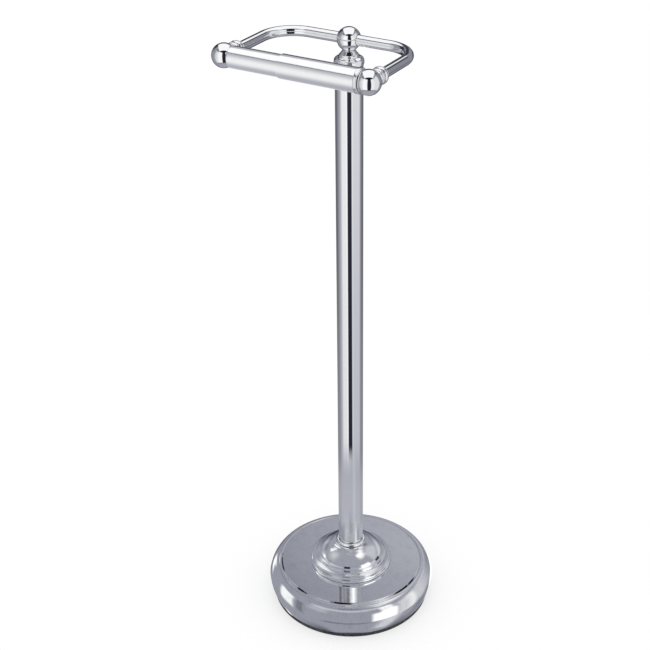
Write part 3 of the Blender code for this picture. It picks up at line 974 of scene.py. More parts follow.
@dataclass
class Base:
    """The weighted foot: pad, spun shell, stepped dome and collar.

    Angles are in degrees. The rim is an arc from rim_start to the crease, and rings close to the crease, by
    crease_hold above it and crease_share of the side below it, keep it crisp.
    """

    shop: Workshop
    pad_radius: float = 0.0816
    pad_height: float = 0.0055
    pad_edge: float = 0.0008
    rim_radius: float = 0.0865
    rim_height: float = 0.0223
    rim_tuck: float = 0.0037
    rim_bulge: float = 0.0006
    rim_start: float = 89.0
    crease: float = 20.0
    crease_hold: float = 0.5
    crease_share: float = 0.008
    cover_end: float = 84.0
    wall: float = 0.0012
    height: float = 0.038
    plate_margin: float = 0.0133
    plate_edge: float = 0.0006
    groove_width: float = 0.0009
    groove_depth: float = 0.0013
    groove_fillet: float = 0.0003
    bead_width: float = 0.0022
    bead_drop: float = 0.0006
    bead_arc: Point = (170.0, 14.0)
    bore: float = 0.0043
    dome_radius: float = 0.0428
    dome_height: float = 0.0244
    collar_radius: float = 0.0156
    collar_height: float = 0.0034
    plated_shell: list[Piece] = field(default_factory=list)
    plated_dome: list[Piece] = field(default_factory=list)

    def build(self) -> None:
        """Makes and dresses every piece of the foot."""
        stand, chrome = Body.STAND, Slot.CHROME
        self.shop.dress(self._pad(), RUBBER, stand, Slot.RUBBER, ["rubber_pad"])
        shell = self.shop.dress(self._shell(), BASE_PLATE, stand, chrome, ["base_shell"])
        dome = self.shop.dress(self._dome(), BASE_PLATE, stand, chrome, ["base_flange"])
        self.shop.dress(self._collar(), TURNED_PLATE, stand, chrome, ["foot_collar"])
        for node in ("base_washer", "base_nut", "tie_rod"):
            self.shop.recoat(node, MACHINED)
        self.shop.recoat("base_weight", CASTING)
        self.plated_shell.append(shell)
        self.plated_dome.append(dome)

    @property
    def dome_bottom(self) -> float:
        """Height of the dome's foot."""
        return self.height + FIT

    @property
    def dome_top(self) -> float:
        """Height of the dome's crown."""
        return self.dome_bottom + self.dome_height

    @property
    def collar_bottom(self) -> float:
        """Height of the collar's underside."""
        return self.dome_top + FIT

    @property
    def top(self) -> float:
        """Height that the post stands on."""
        return self.collar_bottom + self.collar_height + FIT

    def _pad(self) -> Piece:
        """The rubber disc, with rounded edges.

        Returns:
            The piece.
        """
        section = Section(0.0, self.pad_height).line((self.pad_radius - self.pad_edge, self.pad_height))
        section.rounded(Corner.UPPER_DOWN, (self.pad_radius, self.pad_height), self.pad_edge, steps=6)
        section.rounded(Corner.LOWER_DOWN, (self.pad_radius, 0.0), self.pad_edge, steps=6).line((0.0, 0.0))
        return Lathe(segments=144).turn("foot_pad", section, ring=False)

    def _shell(self) -> Piece:
        """The spun cover: flat plate, groove, bead and rounded rim, and its inside back to the bore.

        Returns:
            The piece.
        """
        plate = self.rim_radius - self.plate_margin
        edge, fillet = self.plate_edge, self.groove_fillet
        groove = self.height - self.groove_depth
        bead_start = plate + self.groove_width
        bead_end = bead_start + self.bead_width
        bead_rise = self.height - self.bead_drop - groove
        section = Section(self.bore, self.height)
        section.line((plate / 2, self.height), (plate - edge, self.height))
        section.rounded(Corner.UPPER_DOWN, (plate, self.height), edge, steps=8)
        section.line((plate, groove + fillet))
        section.arc((plate + fillet, groove + fillet), (fillet, fillet), 180.0, 270.0, steps=4)
        bead = ((bead_start + bead_end) / 2, groove)
        section.arc(bead, (self.bead_width / 2, bead_rise), *self.bead_arc, steps=14)
        slope = math.radians(self.crease)
        out = (self.rim_radius - bead_end) / math.cos(slope)
        rise = (groove - self.rim_height) / (1.0 - math.sin(slope))
        rim, reach = (bead_end, groove - rise), (out, rise)
        held = self.crease + self.crease_hold
        section.arc(rim, reach, self.rim_start, held, steps=36).arc(rim, reach, held, self.crease, steps=1)
        section.line(*self._side(self.rim_radius, 20))
        section.line(*reversed(self._side(self.rim_radius - self.wall, 8)))
        inside = plate - edge
        cover = (self.rim_radius - self.wall - inside, groove - self.wall - self.rim_height)
        section.arc((inside, self.rim_height), cover, 0.0, self.cover_end)
        under = self.height - self.wall
        section.line((inside - self.wall, under), (self.bore, under))
        return Lathe(segments=192).turn("shell", section)

    def _side(self, top_radius: float, steps: int) -> list[Point]:
        """The slightly bulged side below the rim's crease.

        Args:
            top_radius: Radius at the crease.
            steps: Number of pieces that it is cut into.

        Returns:
            Its points, from the crease down.
        """
        drop = self.rim_height - self.pad_height - FIT
        points = []
        for share in (0.0, self.crease_share, *(step / steps for step in range(1, steps + 1))):
            bulge = self.rim_bulge * 4 * share * (1 - share)
            points.append((top_radius - self.rim_tuck * share + bulge, self.rim_height - drop * share))
        return points

    def _dome(self) -> Piece:
        """The dome with its two rolled steps.

        Returns:
            The piece.
        """
        low, high = self.dome_bottom, self.dome_top
        radius, rise = self.dome_radius, self.dome_height

        def at(out: float, up: float) -> Point:
            """A point by its shares of the dome's radius and height."""
            return radius * out, low + rise * up

        section = Section(self.bore, high).line(at(0.35, 1.0))
        section.flow(at(0.378, 0.996), at(0.455, 0.959), at(0.548, 0.881), at(0.635, 0.774),
                     at(0.705, 0.663), at(0.757, 0.56), at(0.788, 0.467))
        section.flow(at(0.801, 0.454), at(0.817, 0.447), at(0.827, 0.428), at(0.831, 0.395),
                     at(0.8315, 0.367))
        section.flow(at(0.8355, 0.344), at(0.852, 0.321), at(0.882, 0.304), at(0.918, 0.296),
                     at(0.941, 0.286), at(0.955, 0.264), at(0.9585, 0.233), at(0.953, 0.204),
                     at(0.9495, 0.188))
        section.flow(at(0.9495, 0.138), at(0.955, 0.083), at(0.971, 0.044), at(0.992, 0.023))
        section.line(at(1.0, 0.017), at(1.0, 0.0), at(0.955, 0.0), at(0.912, 0.175), at(0.8, 0.248),
                     at(0.74, 0.44), at(0.64, 0.655), at(0.45, 0.86), (self.bore, low + rise * 0.91))
        return Lathe(segments=160).turn("dome", section)

    def _collar(self) -> Piece:
        """The thin half-round ring under the post.

        Returns:
            The piece.
        """
        bulge = self.collar_height / 2
        middle = self.collar_bottom + bulge
        section = Section(self.bore, middle + bulge)
        section.arc((self.collar_radius - bulge, middle), (bulge, bulge), 90.0, -90.0, steps=18)
        section.line((self.bore, self.collar_bottom))
        return Lathe(segments=96).turn("collar", section)


@dataclass
class Post:
    """The straight tube and the turned bell on it."""

    shop: Workshop
    bottom: float
    radius: float = 0.0127
    length: float = 0.5179
    wall: float = 0.0012
    edge: float = 0.0004
    bell_radius: float = 0.0135
    bell_height: float = 0.0137
    neck_share: float = 0.395
    stud_bore: float = 0.0033
    plated: list[Piece] = field(default_factory=list)

    def build(self) -> None:
        """Makes and dresses the post and what is on and in it."""
        stand, chrome = Body.STAND, Slot.CHROME
        self.plated.append(self.shop.dress(self._tube(), POST_PLATE, stand, chrome, ["post_tube"]))
        self.shop.dress(self._bell(), TURNED_PLATE, stand, chrome, ["top_cap"])
        for node in ("lower_plug", "upper_plug", "cap_stud"):
            self.shop.recoat(node, MACHINED)

    @property
    def top(self) -> float:
        """Height of the tube's upper end."""
        return self.bottom + self.length

    @property
    def neck_radius(self) -> float:
        """Radius of the bell's mouth, which the ball sits in."""
        return self.bell_radius * self.neck_share

    @property
    def bell_top(self) -> float:
        """Height of the bell's mouth."""
        return self.top + FIT + self.bell_height

    def _tube(self) -> Piece:
        """The tube, with small rounded ends.

        Returns:
            The piece.
        """
        inner = self.radius - self.wall
        section = Section(inner, self.bottom).line((self.radius - self.edge, self.bottom))
        section.rounded(Corner.LOWER_UP, (self.radius, self.bottom), self.edge, steps=5)
        section.line((self.radius, (self.bottom + self.top) / 2))
        section.rounded(Corner.UPPER_UP, (self.radius, self.top), self.edge, steps=5)
        section.line((inner, self.top))
        return Lathe(segments=128).turn("tube", section)

    def _bell(self) -> Piece:
        """The turned bell between tube and ball.

        Returns:
            The piece.
        """
        low, rise = self.top + FIT, self.bell_height

        def at(out: float, up: float) -> Point:
            """A point by its shares of the bell's radius and height."""
            return self.bell_radius * out, low + rise * up

        section = Section(*at(0.36, 0.998)).line(at(self.neck_share, 1.0))
        section.flow(at(0.43, 0.975), at(0.482, 0.905), at(0.545, 0.82), at(0.602, 0.742))
        section.flow(at(0.632, 0.727), at(0.662, 0.7), at(0.671, 0.665), at(0.664, 0.632))
        section.flow(at(0.672, 0.603), at(0.705, 0.572), at(0.77, 0.535), at(0.835, 0.512),
                     at(0.885, 0.498))
        section.flow(at(0.925, 0.472), at(0.963, 0.42), at(0.988, 0.34), at(1.0, 0.235),
                     at(0.992, 0.125), at(0.96, 0.042), at(0.9, 0.0))
        section.line((self.stud_bore, low), (self.stud_bore, low + rise * 0.8))
        return Lathe(segments=112).turn("bell", section)


@dataclass
class Arm:
    """The bent rod with its balls, ferrules and clamp screw.

    The mouths of the top ball's bore are bevelled by bore_edge along it and by bore_turn degrees round the
    ball. The end balls' outlines turn to ball_pole, just short of the pole itself.
    """

    shop: Workshop
    height: float
    ball_radius: float = 0.01075
    rod_radius: float = 0.00475
    rod_edge: float = 0.0004
    half_width: float = 0.0697
    reach: float = 0.0893
    bend_radius: float = 0.0294
    socket_depth: float = 0.0078
    ferrule_radius: float = 0.0077
    ferrule_length: float = 0.014
    bore_edge: float = 0.00025
    bore_turn: float = 1.4
    ball_pole: float = -89.2
    screw_radius: float = 0.002
    screw_inset: float = 0.0007
    screw_edge: float = 0.0003
    drive_share: float = 0.55
    drive_depth: float = 0.0012
    rod_sides: int = 48
    bend_steps: int = 40

    def build(self) -> None:
        """Makes and dresses every piece of the arm."""
        stand, chrome = Body.STAND, Slot.CHROME
        self.shop.dress(self._rod(), ROD_PLATE, stand, chrome, ["arm_rod"])
        self.shop.dress(self._top_ball(), TURNED_PLATE, stand, chrome, ["top_ball"])
        self.shop.dress(self._screw(), MACHINED, stand, Slot.STEEL, ["arm_set_screw"])
        for side, sign in (("left", -1.0), ("right", 1.0)):
            end = (sign * self.half_width, -self.reach, self.height)
            ball = laid(self._end_ball("ball_" + side), Axis.BACK, end)
            self.shop.dress(ball, TURNED_PLATE, stand, chrome, ["end_ball_" + side])
            ferrule = laid(self._ferrule("rings_" + side), Axis.BACK, end)
            self.shop.dress(ferrule, TURNED_PLATE, stand, chrome, ["ferrule_" + side])

    @property
    def bore(self) -> float:
        """Radius of the holes that the rod goes into."""
        return self.rod_radius + FIT

    def _rod(self) -> Piece:
        """The rod: leg, bend, back bar, bend and leg, with bevelled ends.

        Returns:
            The piece.
        """
        end = -self.reach + self.ball_radius - self.socket_depth
        corner = self.half_width - self.bend_radius
        rim = self.rod_radius - self.rod_edge
        stations = [self._station(-self.half_width, end, 0.0, rim)]
        stations.append(self._station(-self.half_width, end + self.rod_edge, 0.0, self.rod_radius))
        for centre, start in ((-corner, 180.0), (corner, 90.0)):
            for step in range(self.bend_steps + 1):
                angle = math.radians(start - 90.0 * step / self.bend_steps)
                across = centre + self.bend_radius * math.cos(angle)
                depth = self.bend_radius * (math.sin(angle) - 1.0)
                stations.append(self._station(across, depth, math.pi - angle, self.rod_radius))
        stations.append(self._station(self.half_width, end + self.rod_edge, math.pi, self.rod_radius))
        stations.append(self._station(self.half_width, end, math.pi, rim))
        return swept("bent_rod", stations, self.rod_sides)

    def _station(self, across: float, depth: float, turn: float, radius: float) -> Station:
        """One ring of the level rod, turned from facing back."""
        side = Vector((math.cos(turn), -math.sin(turn), 0.0))
        return Station(Vector((across, depth, self.height)), side, UP, radius)

    def _top_ball(self) -> Piece:
        """The cross-bored ball on the bell.

        Returns:
            The piece.
        """
        limit = math.acos(self.bore / self.ball_radius)
        mouth = self.ball_radius * math.sin(limit) - self.bore_edge
        reach = math.degrees(limit) - self.bore_turn
        section = Section(self.bore, -mouth)
        section.arc((0.0, 0.0), (self.ball_radius, self.ball_radius), -reach, reach, steps=72)
        section.line((self.bore, mouth))
        return laid(Lathe(segments=128).turn("crown_ball", section), Axis.RIGHT, (0.0, 0.0, self.height))

    def _screw(self) -> Piece:
        """The headless screw with its round socket, seen behind the ball.

        Returns:
            The piece.
        """
        head = self.ball_radius - self.screw_inset
        socket, floor = self.screw_radius * self.drive_share, head - self.drive_depth
        shoulder = self.screw_radius - self.screw_edge
        section = Section(0.0, floor).line((socket, floor), (socket, head), (shoulder, head))
        section.rounded(Corner.UPPER_DOWN, (self.screw_radius, head), self.screw_edge, steps=4)
        section.line((self.screw_radius, self.bore), (0.0, self.bore))
        screw = Lathe(segments=48).turn("clamp_screw", section, ring=False)
        return laid(screw, Axis.BACK, (0.0, 0.0, self.height))

    def _end_ball(self, name: str) -> Piece:
        """One end ball with the blind hole that takes the rod.

        Args:
            name: Name of the piece.

        Returns:
            The piece.
        """
        opening = math.degrees(math.acos(self.bore / self.ball_radius))
        floor = self.ball_radius - self.socket_depth - FIT
        section = Section(0.0, floor).line((self.bore, floor))
        section.arc((0.0, 0.0), (self.ball_radius, self.ball_radius), opening, self.ball_pole, steps=64)
        section.line((0.0, -self.ball_radius))
        return Lathe(segments=112).turn(name, section, ring=False)

    def _ferrule(self, name: str) -> Piece:
        """The turned ring pair behind an end ball, drawn from the ball back.

        Args:
            name: Name of the piece.

        Returns:
            The piece.
        """
        start = math.sqrt(self.ball_radius**2 - self.bore**2) + FIT

        def at(run: float, out: float) -> Point:
            """A point by its shares along the ferrule and out from its axis."""
            return self.ferrule_radius * out, start + self.ferrule_length * run

        section = Section(self.bore, start).line(at(0.0, 0.735), at(0.1, 0.735), at(0.12, 0.8))
        section.flow(at(0.14, 0.89), at(0.18, 0.945), at(0.25, 0.972), at(0.32, 0.95),
                     at(0.365, 0.895), at(0.385, 0.86))
        section.flow(at(0.405, 0.835), at(0.43, 0.83), at(0.452, 0.85))
        section.flow(at(0.485, 0.92), at(0.53, 0.975), at(0.6, 1.0), at(0.675, 0.99),
                     at(0.735, 0.945), at(0.775, 0.862))
        section.flow(at(0.8, 0.825), at(0.82, 0.818), at(0.838, 0.828))
        section.flow(at(0.875, 0.838), at(0.925, 0.805), at(0.965, 0.755), at(0.99, 0.7))
        section.line((self.bore, start + self.ferrule_length))
        return Lathe(segments=88).turn(name, section)


@dataclass
class Roller:
    """The telescoping roller: two tubes, two dished ends and the spring inside."""

    shop: Workshop
    arm: Arm
    outer_radius: float = 0.01045
    inner_radius: float = 0.00965
    wall: float = 0.0005
    outer_setback: float = 0.0092
    inner_setback: float = 0.0087
    step: float = 0.012
    overlap: float = 0.03
    plug: float = 0.008
    lip: float = 0.003
    proud: float = 0.0004
    inset: float = 0.0004
    tube_edge: float = 0.0002
    seam_edge: float = 0.0002
    lip_edge: float = 0.0009
    wire: float = 0.0006
    wire_sides: int = 16
    coil_share: float = 0.72
    coils: int = 9
    coil_steps: int = 48
    squeeze: float = 0.012
    satin: list[Piece] = field(default_factory=list)

    def build(self) -> None:
        """Makes and dresses every piece of the roller."""
        outer_end = self.arm.half_width - self.outer_setback
        inner_end = self.arm.half_width - self.inner_setback
        wide = self._tube("wide_tube", self.outer_radius, -self.step, outer_end)
        slim = self._tube("slim_tube", self.inner_radius, -inner_end, self.overlap - self.step)
        self.shop.dress(wide, ROLLER_SATIN, Body.OUTER, Slot.ROLLER, ["roller_outer_tube"])
        self.shop.dress(slim, ROLLER_SATIN, Body.INNER, Slot.ROLLER, ["roller_inner_tube"])
        self.satin += [wide, slim]
        self.shop.dress(self._right_end(), TURNED_PLATE, Body.OUTER, Slot.CHROME, ["roller_cap_right"])
        self.shop.dress(self._left_end(), TURNED_PLATE, Body.INNER, Slot.CHROME, ["roller_cap_left"])
        self._springy(self.shop.dress(self._coil(), MACHINED, Body.OUTER, Slot.STEEL, ["roller_spring"]))

    def _tube(self, name: str, radius: float, left: float, right: float) -> Piece:
        """One thin tube along the roller's axis, with slightly rounded ends.

        Args:
            name: Name of the piece.
            radius: Its outer radius.
            left: Where it starts along the axis.
            right: Where it ends.

        Returns:
            The piece.
        """
        bore = radius - self.wall
        section = Section(bore, left).line((radius - self.tube_edge, left))
        section.rounded(Corner.LOWER_UP, (radius, left), self.tube_edge, steps=5)
        section.rounded(Corner.UPPER_UP, (radius, right), self.tube_edge, steps=5).line((bore, right))
        tube = Lathe(segments=96).turn(name, section)
        return laid(tube, Axis.RIGHT, (0.0, -self.arm.reach, self.arm.height))

    @property
    def coil_ends(self) -> Point:
        """Where the spring's wire starts and ends along the roller, against the two ends' backs.

        Returns:
            Both places on the roller's axis.
        """
        back = self.inset + self.lip + self.plug + FIT + self.wire
        left = back - self.arm.half_width + self.inner_setback
        return left, self.arm.half_width - self.outer_setback - self.plug - FIT - self.wire

    def _coil(self) -> Piece:
        """The spring's wire, wound about the roller's axis.

        Returns:
            The piece.
        """
        left, right = self.coil_ends
        radius = self.inner_radius * self.coil_share
        steps = self.coils * self.coil_steps
        climb = (right - left) / (math.tau * self.coils)
        stations = []
        for step in range(steps + 1):
            angle = math.tau * step / self.coil_steps
            out = Vector((0.0, math.cos(angle), math.sin(angle)))
            along = Vector((climb, -radius * out.z, radius * out.y)).normalized()
            spot = Vector((left + (right - left) * step / steps, -self.arm.reach, self.arm.height))
            stations.append(Station(spot + out * radius, out, along.cross(out), self.wire))
        return swept("coil", stations, self.wire_sides)

    def _springy(self, coil: Piece) -> None:
        """Gives the spring its own copy of its mesh.

        Args:
            coil: The spring.
        """
        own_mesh(coil)

    def _cup(self, section: Section, face: float) -> None:
        """Adds the hollow that a ball sits in, from the piece's face to its axis.

        Args:
            section: The piece's outline so far.
            face: Distance of the face from the ball's middle.
        """
        hollow = self.arm.ball_radius + FIT
        mouth = math.degrees(math.asin(face / hollow))
        section.arc((0.0, 0.0), (hollow, hollow), mouth, 90.0, steps=18)

    def _right_end(self) -> Piece:
        """The lipped end of the wide tube.

        Returns:
            The piece.
        """
        face = self.outer_setback - FIT - self.lip
        seam = face + self.lip
        back = seam + self.plug
        rim = self.outer_radius + self.proud
        neck = self.outer_radius - self.wall - FIT
        section = Section(0.0, back).line((neck, back), (neck, seam), (rim - self.seam_edge, seam))
        section.rounded(Corner.UPPER_DOWN, (rim, seam), self.seam_edge, steps=3)
        section.rounded(Corner.LOWER_DOWN, (rim, face), self.lip_edge, steps=9)
        self._cup(section, face)
        piece = Lathe(segments=96).turn("lipped_end", section, ring=False)
        return laid(piece, Axis.LEFT, (self.arm.half_width, -self.arm.reach, self.arm.height))

    def _left_end(self) -> Piece:
        """The plain end of the slim tube.

        Returns:
            The piece.
        """
        face = self.inner_setback + self.inset
        neck = self.inner_radius - self.wall - FIT
        back = face + self.lip + self.plug
        section = Section(0.0, back).line((neck, back), (neck, face))
        self._cup(section, face)
        piece = Lathe(segments=96).turn("plain_end", section, ring=False)
        return laid(piece, Axis.RIGHT, (-self.arm.half_width, -self.arm.reach, self.arm.height))


@dataclass(frozen=True)
class Viewpoint:
    """The camera, at the photograph's viewing angle."""

    place: Place = (0.58077, -1.0021, 0.97782)
    heading: float = -31.293
    pitch: float = 29.453
    roll: float = -0.813
    focal_pixels: float = 1374.576
    frame_pixels: float = 650.0
    sensor_mm: float = 36.0

    def build(self) -> None:
        """Makes the camera and hands it to the scene."""
        data = bpy.data.cameras.new("studio_camera")
        data.sensor_width = self.sensor_mm
        data.lens = self.focal_pixels / self.frame_pixels * self.sensor_mm
        camera = bpy.data.objects.new("studio_camera", data)
        turn, tilt, roll = (math.radians(angle) for angle in (self.heading, self.pitch, self.roll))
        ahead = Vector((math.sin(turn) * math.cos(tilt), math.cos(turn) * math.cos(tilt), -math.sin(tilt)))
        level = Vector((math.cos(turn), -math.sin(turn), 0.0))
        upright = level.cross(ahead)
        right = level * math.cos(roll) + upright * math.sin(roll)
        above = upright * math.cos(roll) - level * math.sin(roll)
        facing = Matrix((right, above, -ahead)).transposed().to_4x4()
        camera.matrix_world = Matrix.Translation(self.place) @ facing
        bpy.context.scene.collection.objects.link(camera)
        bpy.context.scene.camera = camera


@dataclass(frozen=True)
class Patch:
    """A soft-edged field in degrees: a lit screen, or a black flag that swallows light.

    The bearing is counted from the camera's side to the picture's right, and the rise from the horizon up.
    """

    bearing: float
    breadth: float
    rise: float
    reach: float
    strength: float
    soft: float = 8.0
    soft_rise: float = 8.0


@dataclass(frozen=True)
class Ceiling:
    """A square screen overhead, by its edges over its height: to the camera's side, away and aside."""

    front: float
    back: float
    side: float
    strength: float
    soft: float = 0.12


@dataclass(frozen=True)
class Surroundings:
    """What the plating of one part mirrors: pale walls with lit screens and black flags."""

    name: str
    radius: float
    ambient: float
    screens: tuple[Patch, ...]
    flags: tuple[Patch, ...]
    ceiling: Ceiling | None = None
    deep: Colour = (0.62, 0.66, 1.0)
    cool: Colour = (0.84, 0.862, 1.0)
    white: Colour = (1.0, 1.0, 1.0)
    deep_below: float = 0.03
    cool_above: float = 0.2
    cool_below: float = 0.2
    white_above: float = 0.9
    least_rise: float = 0.001

    def build(self, heading: float, pieces: Iterable[Piece], alone: bool) -> None:
        """Makes the surroundings, which only reflections see, and lights some pieces with them.

        Args:
            heading: The way that the camera looks, in degrees.
            pieces: The pieces that are told apart.
            alone: Whether those pieces alone mirror it, or all but those.
        """
        form = bmesh.new()
        bmesh.ops.create_uvsphere(form, u_segments=48, v_segments=24, radius=self.radius)
        room = linked(self.name, form)
        room.rotation_euler = (0.0, 0.0, math.radians(-90.0 - heading))
        room.data.materials.append(self._material())
        room.visible_camera = room.visible_diffuse = room.visible_transmission = False
        room.visible_volume_scatter = room.visible_shadow = False
        group = bpy.data.collections.new(self.name + "_pieces")
        for piece in pieces:
            group.objects.link(piece)
        for member in group.collection_objects:
            member.light_linking.link_state = "INCLUDE" if alone else "EXCLUDE"
        room.light_linking.receiver_collection = group

    def _material(self) -> Material:
        """The light of the surroundings, worked out from the direction alone.

        Returns:
            The material.
        """
        coat = Coat(self.name + "_light")
        graph = coat.graph
        graph.tree.nodes.remove(coat.shader)
        way = graph.node("ShaderNodeVectorMath", operation="NORMALIZE", in_0=graph.place()).outputs[0]
        parts = graph.parts(way)
        bearing = graph.bearing(parts)
        rise = graph.math("DEGREES", graph.math("ARCSINE", parts["Z"]))
        total = self.ambient
        for screen in self.screens:
            lit = graph.math("MULTIPLY", self._mask(graph, bearing, rise, screen), screen.strength)
            total = graph.math("ADD", lit, total)
        for flag in self.flags:
            taken = graph.math("MULTIPLY", self._mask(graph, bearing, rise, flag), flag.strength)
            total = graph.math("MULTIPLY", total, graph.math("SUBTRACT", 1.0, taken))
        if self.ceiling:
            lit = self._overhead(graph, parts, self.ceiling)
            total = graph.math("MAXIMUM", total, graph.math("MULTIPLY", lit, self.ceiling.strength))
        glow = graph.node("ShaderNodeEmission", color=self._tint(graph, total), strength=total)
        clear = graph.node("ShaderNodeBsdfTransparent")
        both = graph.node("ShaderNodeAddShader", in_0=clear.outputs[0], in_1=glow.outputs[0])
        graph.feed(graph.tree.nodes["Material Output"], "surface", both.outputs[0])
        coat.made.cycles.emission_sampling = "NONE"
        return coat.made

    def _tint(self, graph: Graph, light: Socket) -> Socket:
        """The colour of the light: blue where faint, cool where dim and white where strong.

        Args:
            graph: The material's graph.
            light: Strength of the light.

        Returns:
            The colour.
        """
        faint = graph.spread(light, self.deep_below, self.cool_above)
        dim = graph.mixed(faint, (*self.deep, 1.0), (*self.cool, 1.0))
        strong = graph.spread(light, self.cool_below, self.white_above)
        return graph.mixed(strong, dim, (*self.white, 1.0))

    def _mask(self, graph: Graph, bearing: Socket, rise: Socket, patch: Patch) -> Socket:
        """One inside a patch and zero outside, with its soft edges between.

        Args:
            graph: The material's graph.
            bearing: Bearing of the direction that is lit.
            rise: Its rise.
            patch: The patch.

        Returns:
            The mask.
        """
        ends = {"in_1": HALF_TURN, "in_2": -HALF_TURN}
        offset = graph.math("SUBTRACT", bearing, patch.bearing)
        aside = graph.node("ShaderNodeMath", operation="WRAP", in_0=offset, **ends).outputs[0]
        across = graph.math("ABSOLUTE", aside)
        upright = graph.math("ABSOLUTE", graph.math("SUBTRACT", rise, patch.rise))
        half, half_rise = patch.soft / 2, patch.soft_rise / 2
        inside = graph.spread(across, patch.breadth + half, patch.breadth - half)
        within = graph.spread(upright, patch.reach + half_rise, patch.reach - half_rise)
        return graph.math("MULTIPLY", inside, within)

    def _overhead(self, graph: Graph, parts: Outputs, ceiling: Ceiling) -> Socket:
        """One inside the square screen overhead and zero outside.

        Args:
            graph: The material's graph.
            parts: The X, Y and Z of the direction that is lit.
            ceiling: The screen.

        Returns:
            The mask.
        """
        height = graph.math("MAXIMUM", parts["Z"], self.least_rise)
        ahead = graph.math("DIVIDE", parts["X"], height)
        aside = graph.math("ABSOLUTE", graph.math("DIVIDE", parts["Y"], height))
        half = ceiling.soft / 2
        lit = graph.spread(ahead, ceiling.front + half, ceiling.front - half)
        lit = graph.math("MULTIPLY", lit, graph.spread(ahead, -ceiling.back - half, -ceiling.back + half))
        return graph.math("MULTIPLY", lit, graph.spread(aside, ceiling.side + half, ceiling.side - half))


ARM_ROOM = Surroundings(
    "arm_room",
    radius=6.0,
    ambient=0.34,
    ceiling=Ceiling(front=0.5, back=1.25, side=0.68, strength=1.02),
    screens=(
        Patch(bearing=-42.0, breadth=40.0, rise=1.0, reach=45.0, strength=0.66, soft=34.0, soft_rise=8.0),
        Patch(bearing=58.0, breadth=43.0, rise=1.0, reach=45.0, strength=0.44, soft=24.0, soft_rise=8.0),
        Patch(bearing=32.0, breadth=14.0, rise=1.0, reach=44.0, strength=0.14, soft=16.0, soft_rise=10.0),
        Patch(bearing=0.0, breadth=200.0, rise=-90.0, reach=34.0, strength=0.08, soft_rise=14.0),
        Patch(bearing=164.0, breadth=14.0, rise=39.5, reach=3.5, strength=0.65, soft=6.0, soft_rise=4.0),
    ),
    flags=(
        Patch(bearing=3.0, breadth=16.5, rise=0.0, reach=50.0, strength=0.95, soft=6.0, soft_rise=6.0),
        Patch(bearing=2.0, breadth=46.0, rise=55.0, reach=9.0, strength=0.95, soft=44.0, soft_rise=5.0),
        Patch(bearing=-143.0, breadth=16.0, rise=28.0, reach=16.0, strength=0.85, soft=14.0, soft_rise=16.0),
        Patch(bearing=132.0, breadth=25.0, rise=4.0, reach=34.0, strength=0.12, soft=14.0, soft_rise=14.0),
        Patch(bearing=132.0, breadth=5.0, rise=37.0, reach=6.0, strength=0.93, soft=5.0, soft_rise=5.0),
        Patch(bearing=168.0, breadth=4.0, rise=30.0, reach=4.0, strength=0.9, soft=4.0, soft_rise=4.0),
        Patch(bearing=115.0, breadth=10.0, rise=-12.0, reach=4.0, strength=0.5, soft=8.0, soft_rise=5.0),
        Patch(bearing=-172.0, breadth=12.0, rise=2.0, reach=7.0, strength=0.85, soft=8.0, soft_rise=5.0),
        Patch(bearing=-67.0, breadth=13.0, rise=1.0, reach=50.0, strength=0.22, soft=14.0, soft_rise=10.0),
        Patch(bearing=-58.0, breadth=18.0, rise=-1.0, reach=1.5, strength=0.22, soft=10.0, soft_rise=3.0),
        Patch(bearing=-179.0, breadth=11.0, rise=25.0, reach=11.0, strength=0.8, soft=10.0, soft_rise=10.0),
        Patch(bearing=-75.0, breadth=20.0, rise=45.0, reach=4.0, strength=0.55, soft=14.0, soft_rise=4.0),
        Patch(bearing=180.0, breadth=36.0, rise=-16.0, reach=26.0, strength=0.85, soft=24.0, soft_rise=20.0),
    ),
)
ROLLER_ROOM = Surroundings(
    "roller_room",
    radius=5.4,
    ambient=0.5,
    screens=(
        Patch(bearing=0.0, breadth=200.0, rise=-4.0, reach=30.0, strength=0.46, soft_rise=50.0),
        Patch(bearing=0.0, breadth=200.0, rise=90.0, reach=39.5, strength=0.6, soft_rise=3.0),
    ),
    flags=(
        Patch(bearing=-60.0, breadth=60.0, rise=47.5, reach=2.0, strength=0.65, soft_rise=2.0),
        Patch(bearing=180.0, breadth=26.0, rise=14.0, reach=18.0, strength=0.85, soft=14.0, soft_rise=10.0),
    ),
)
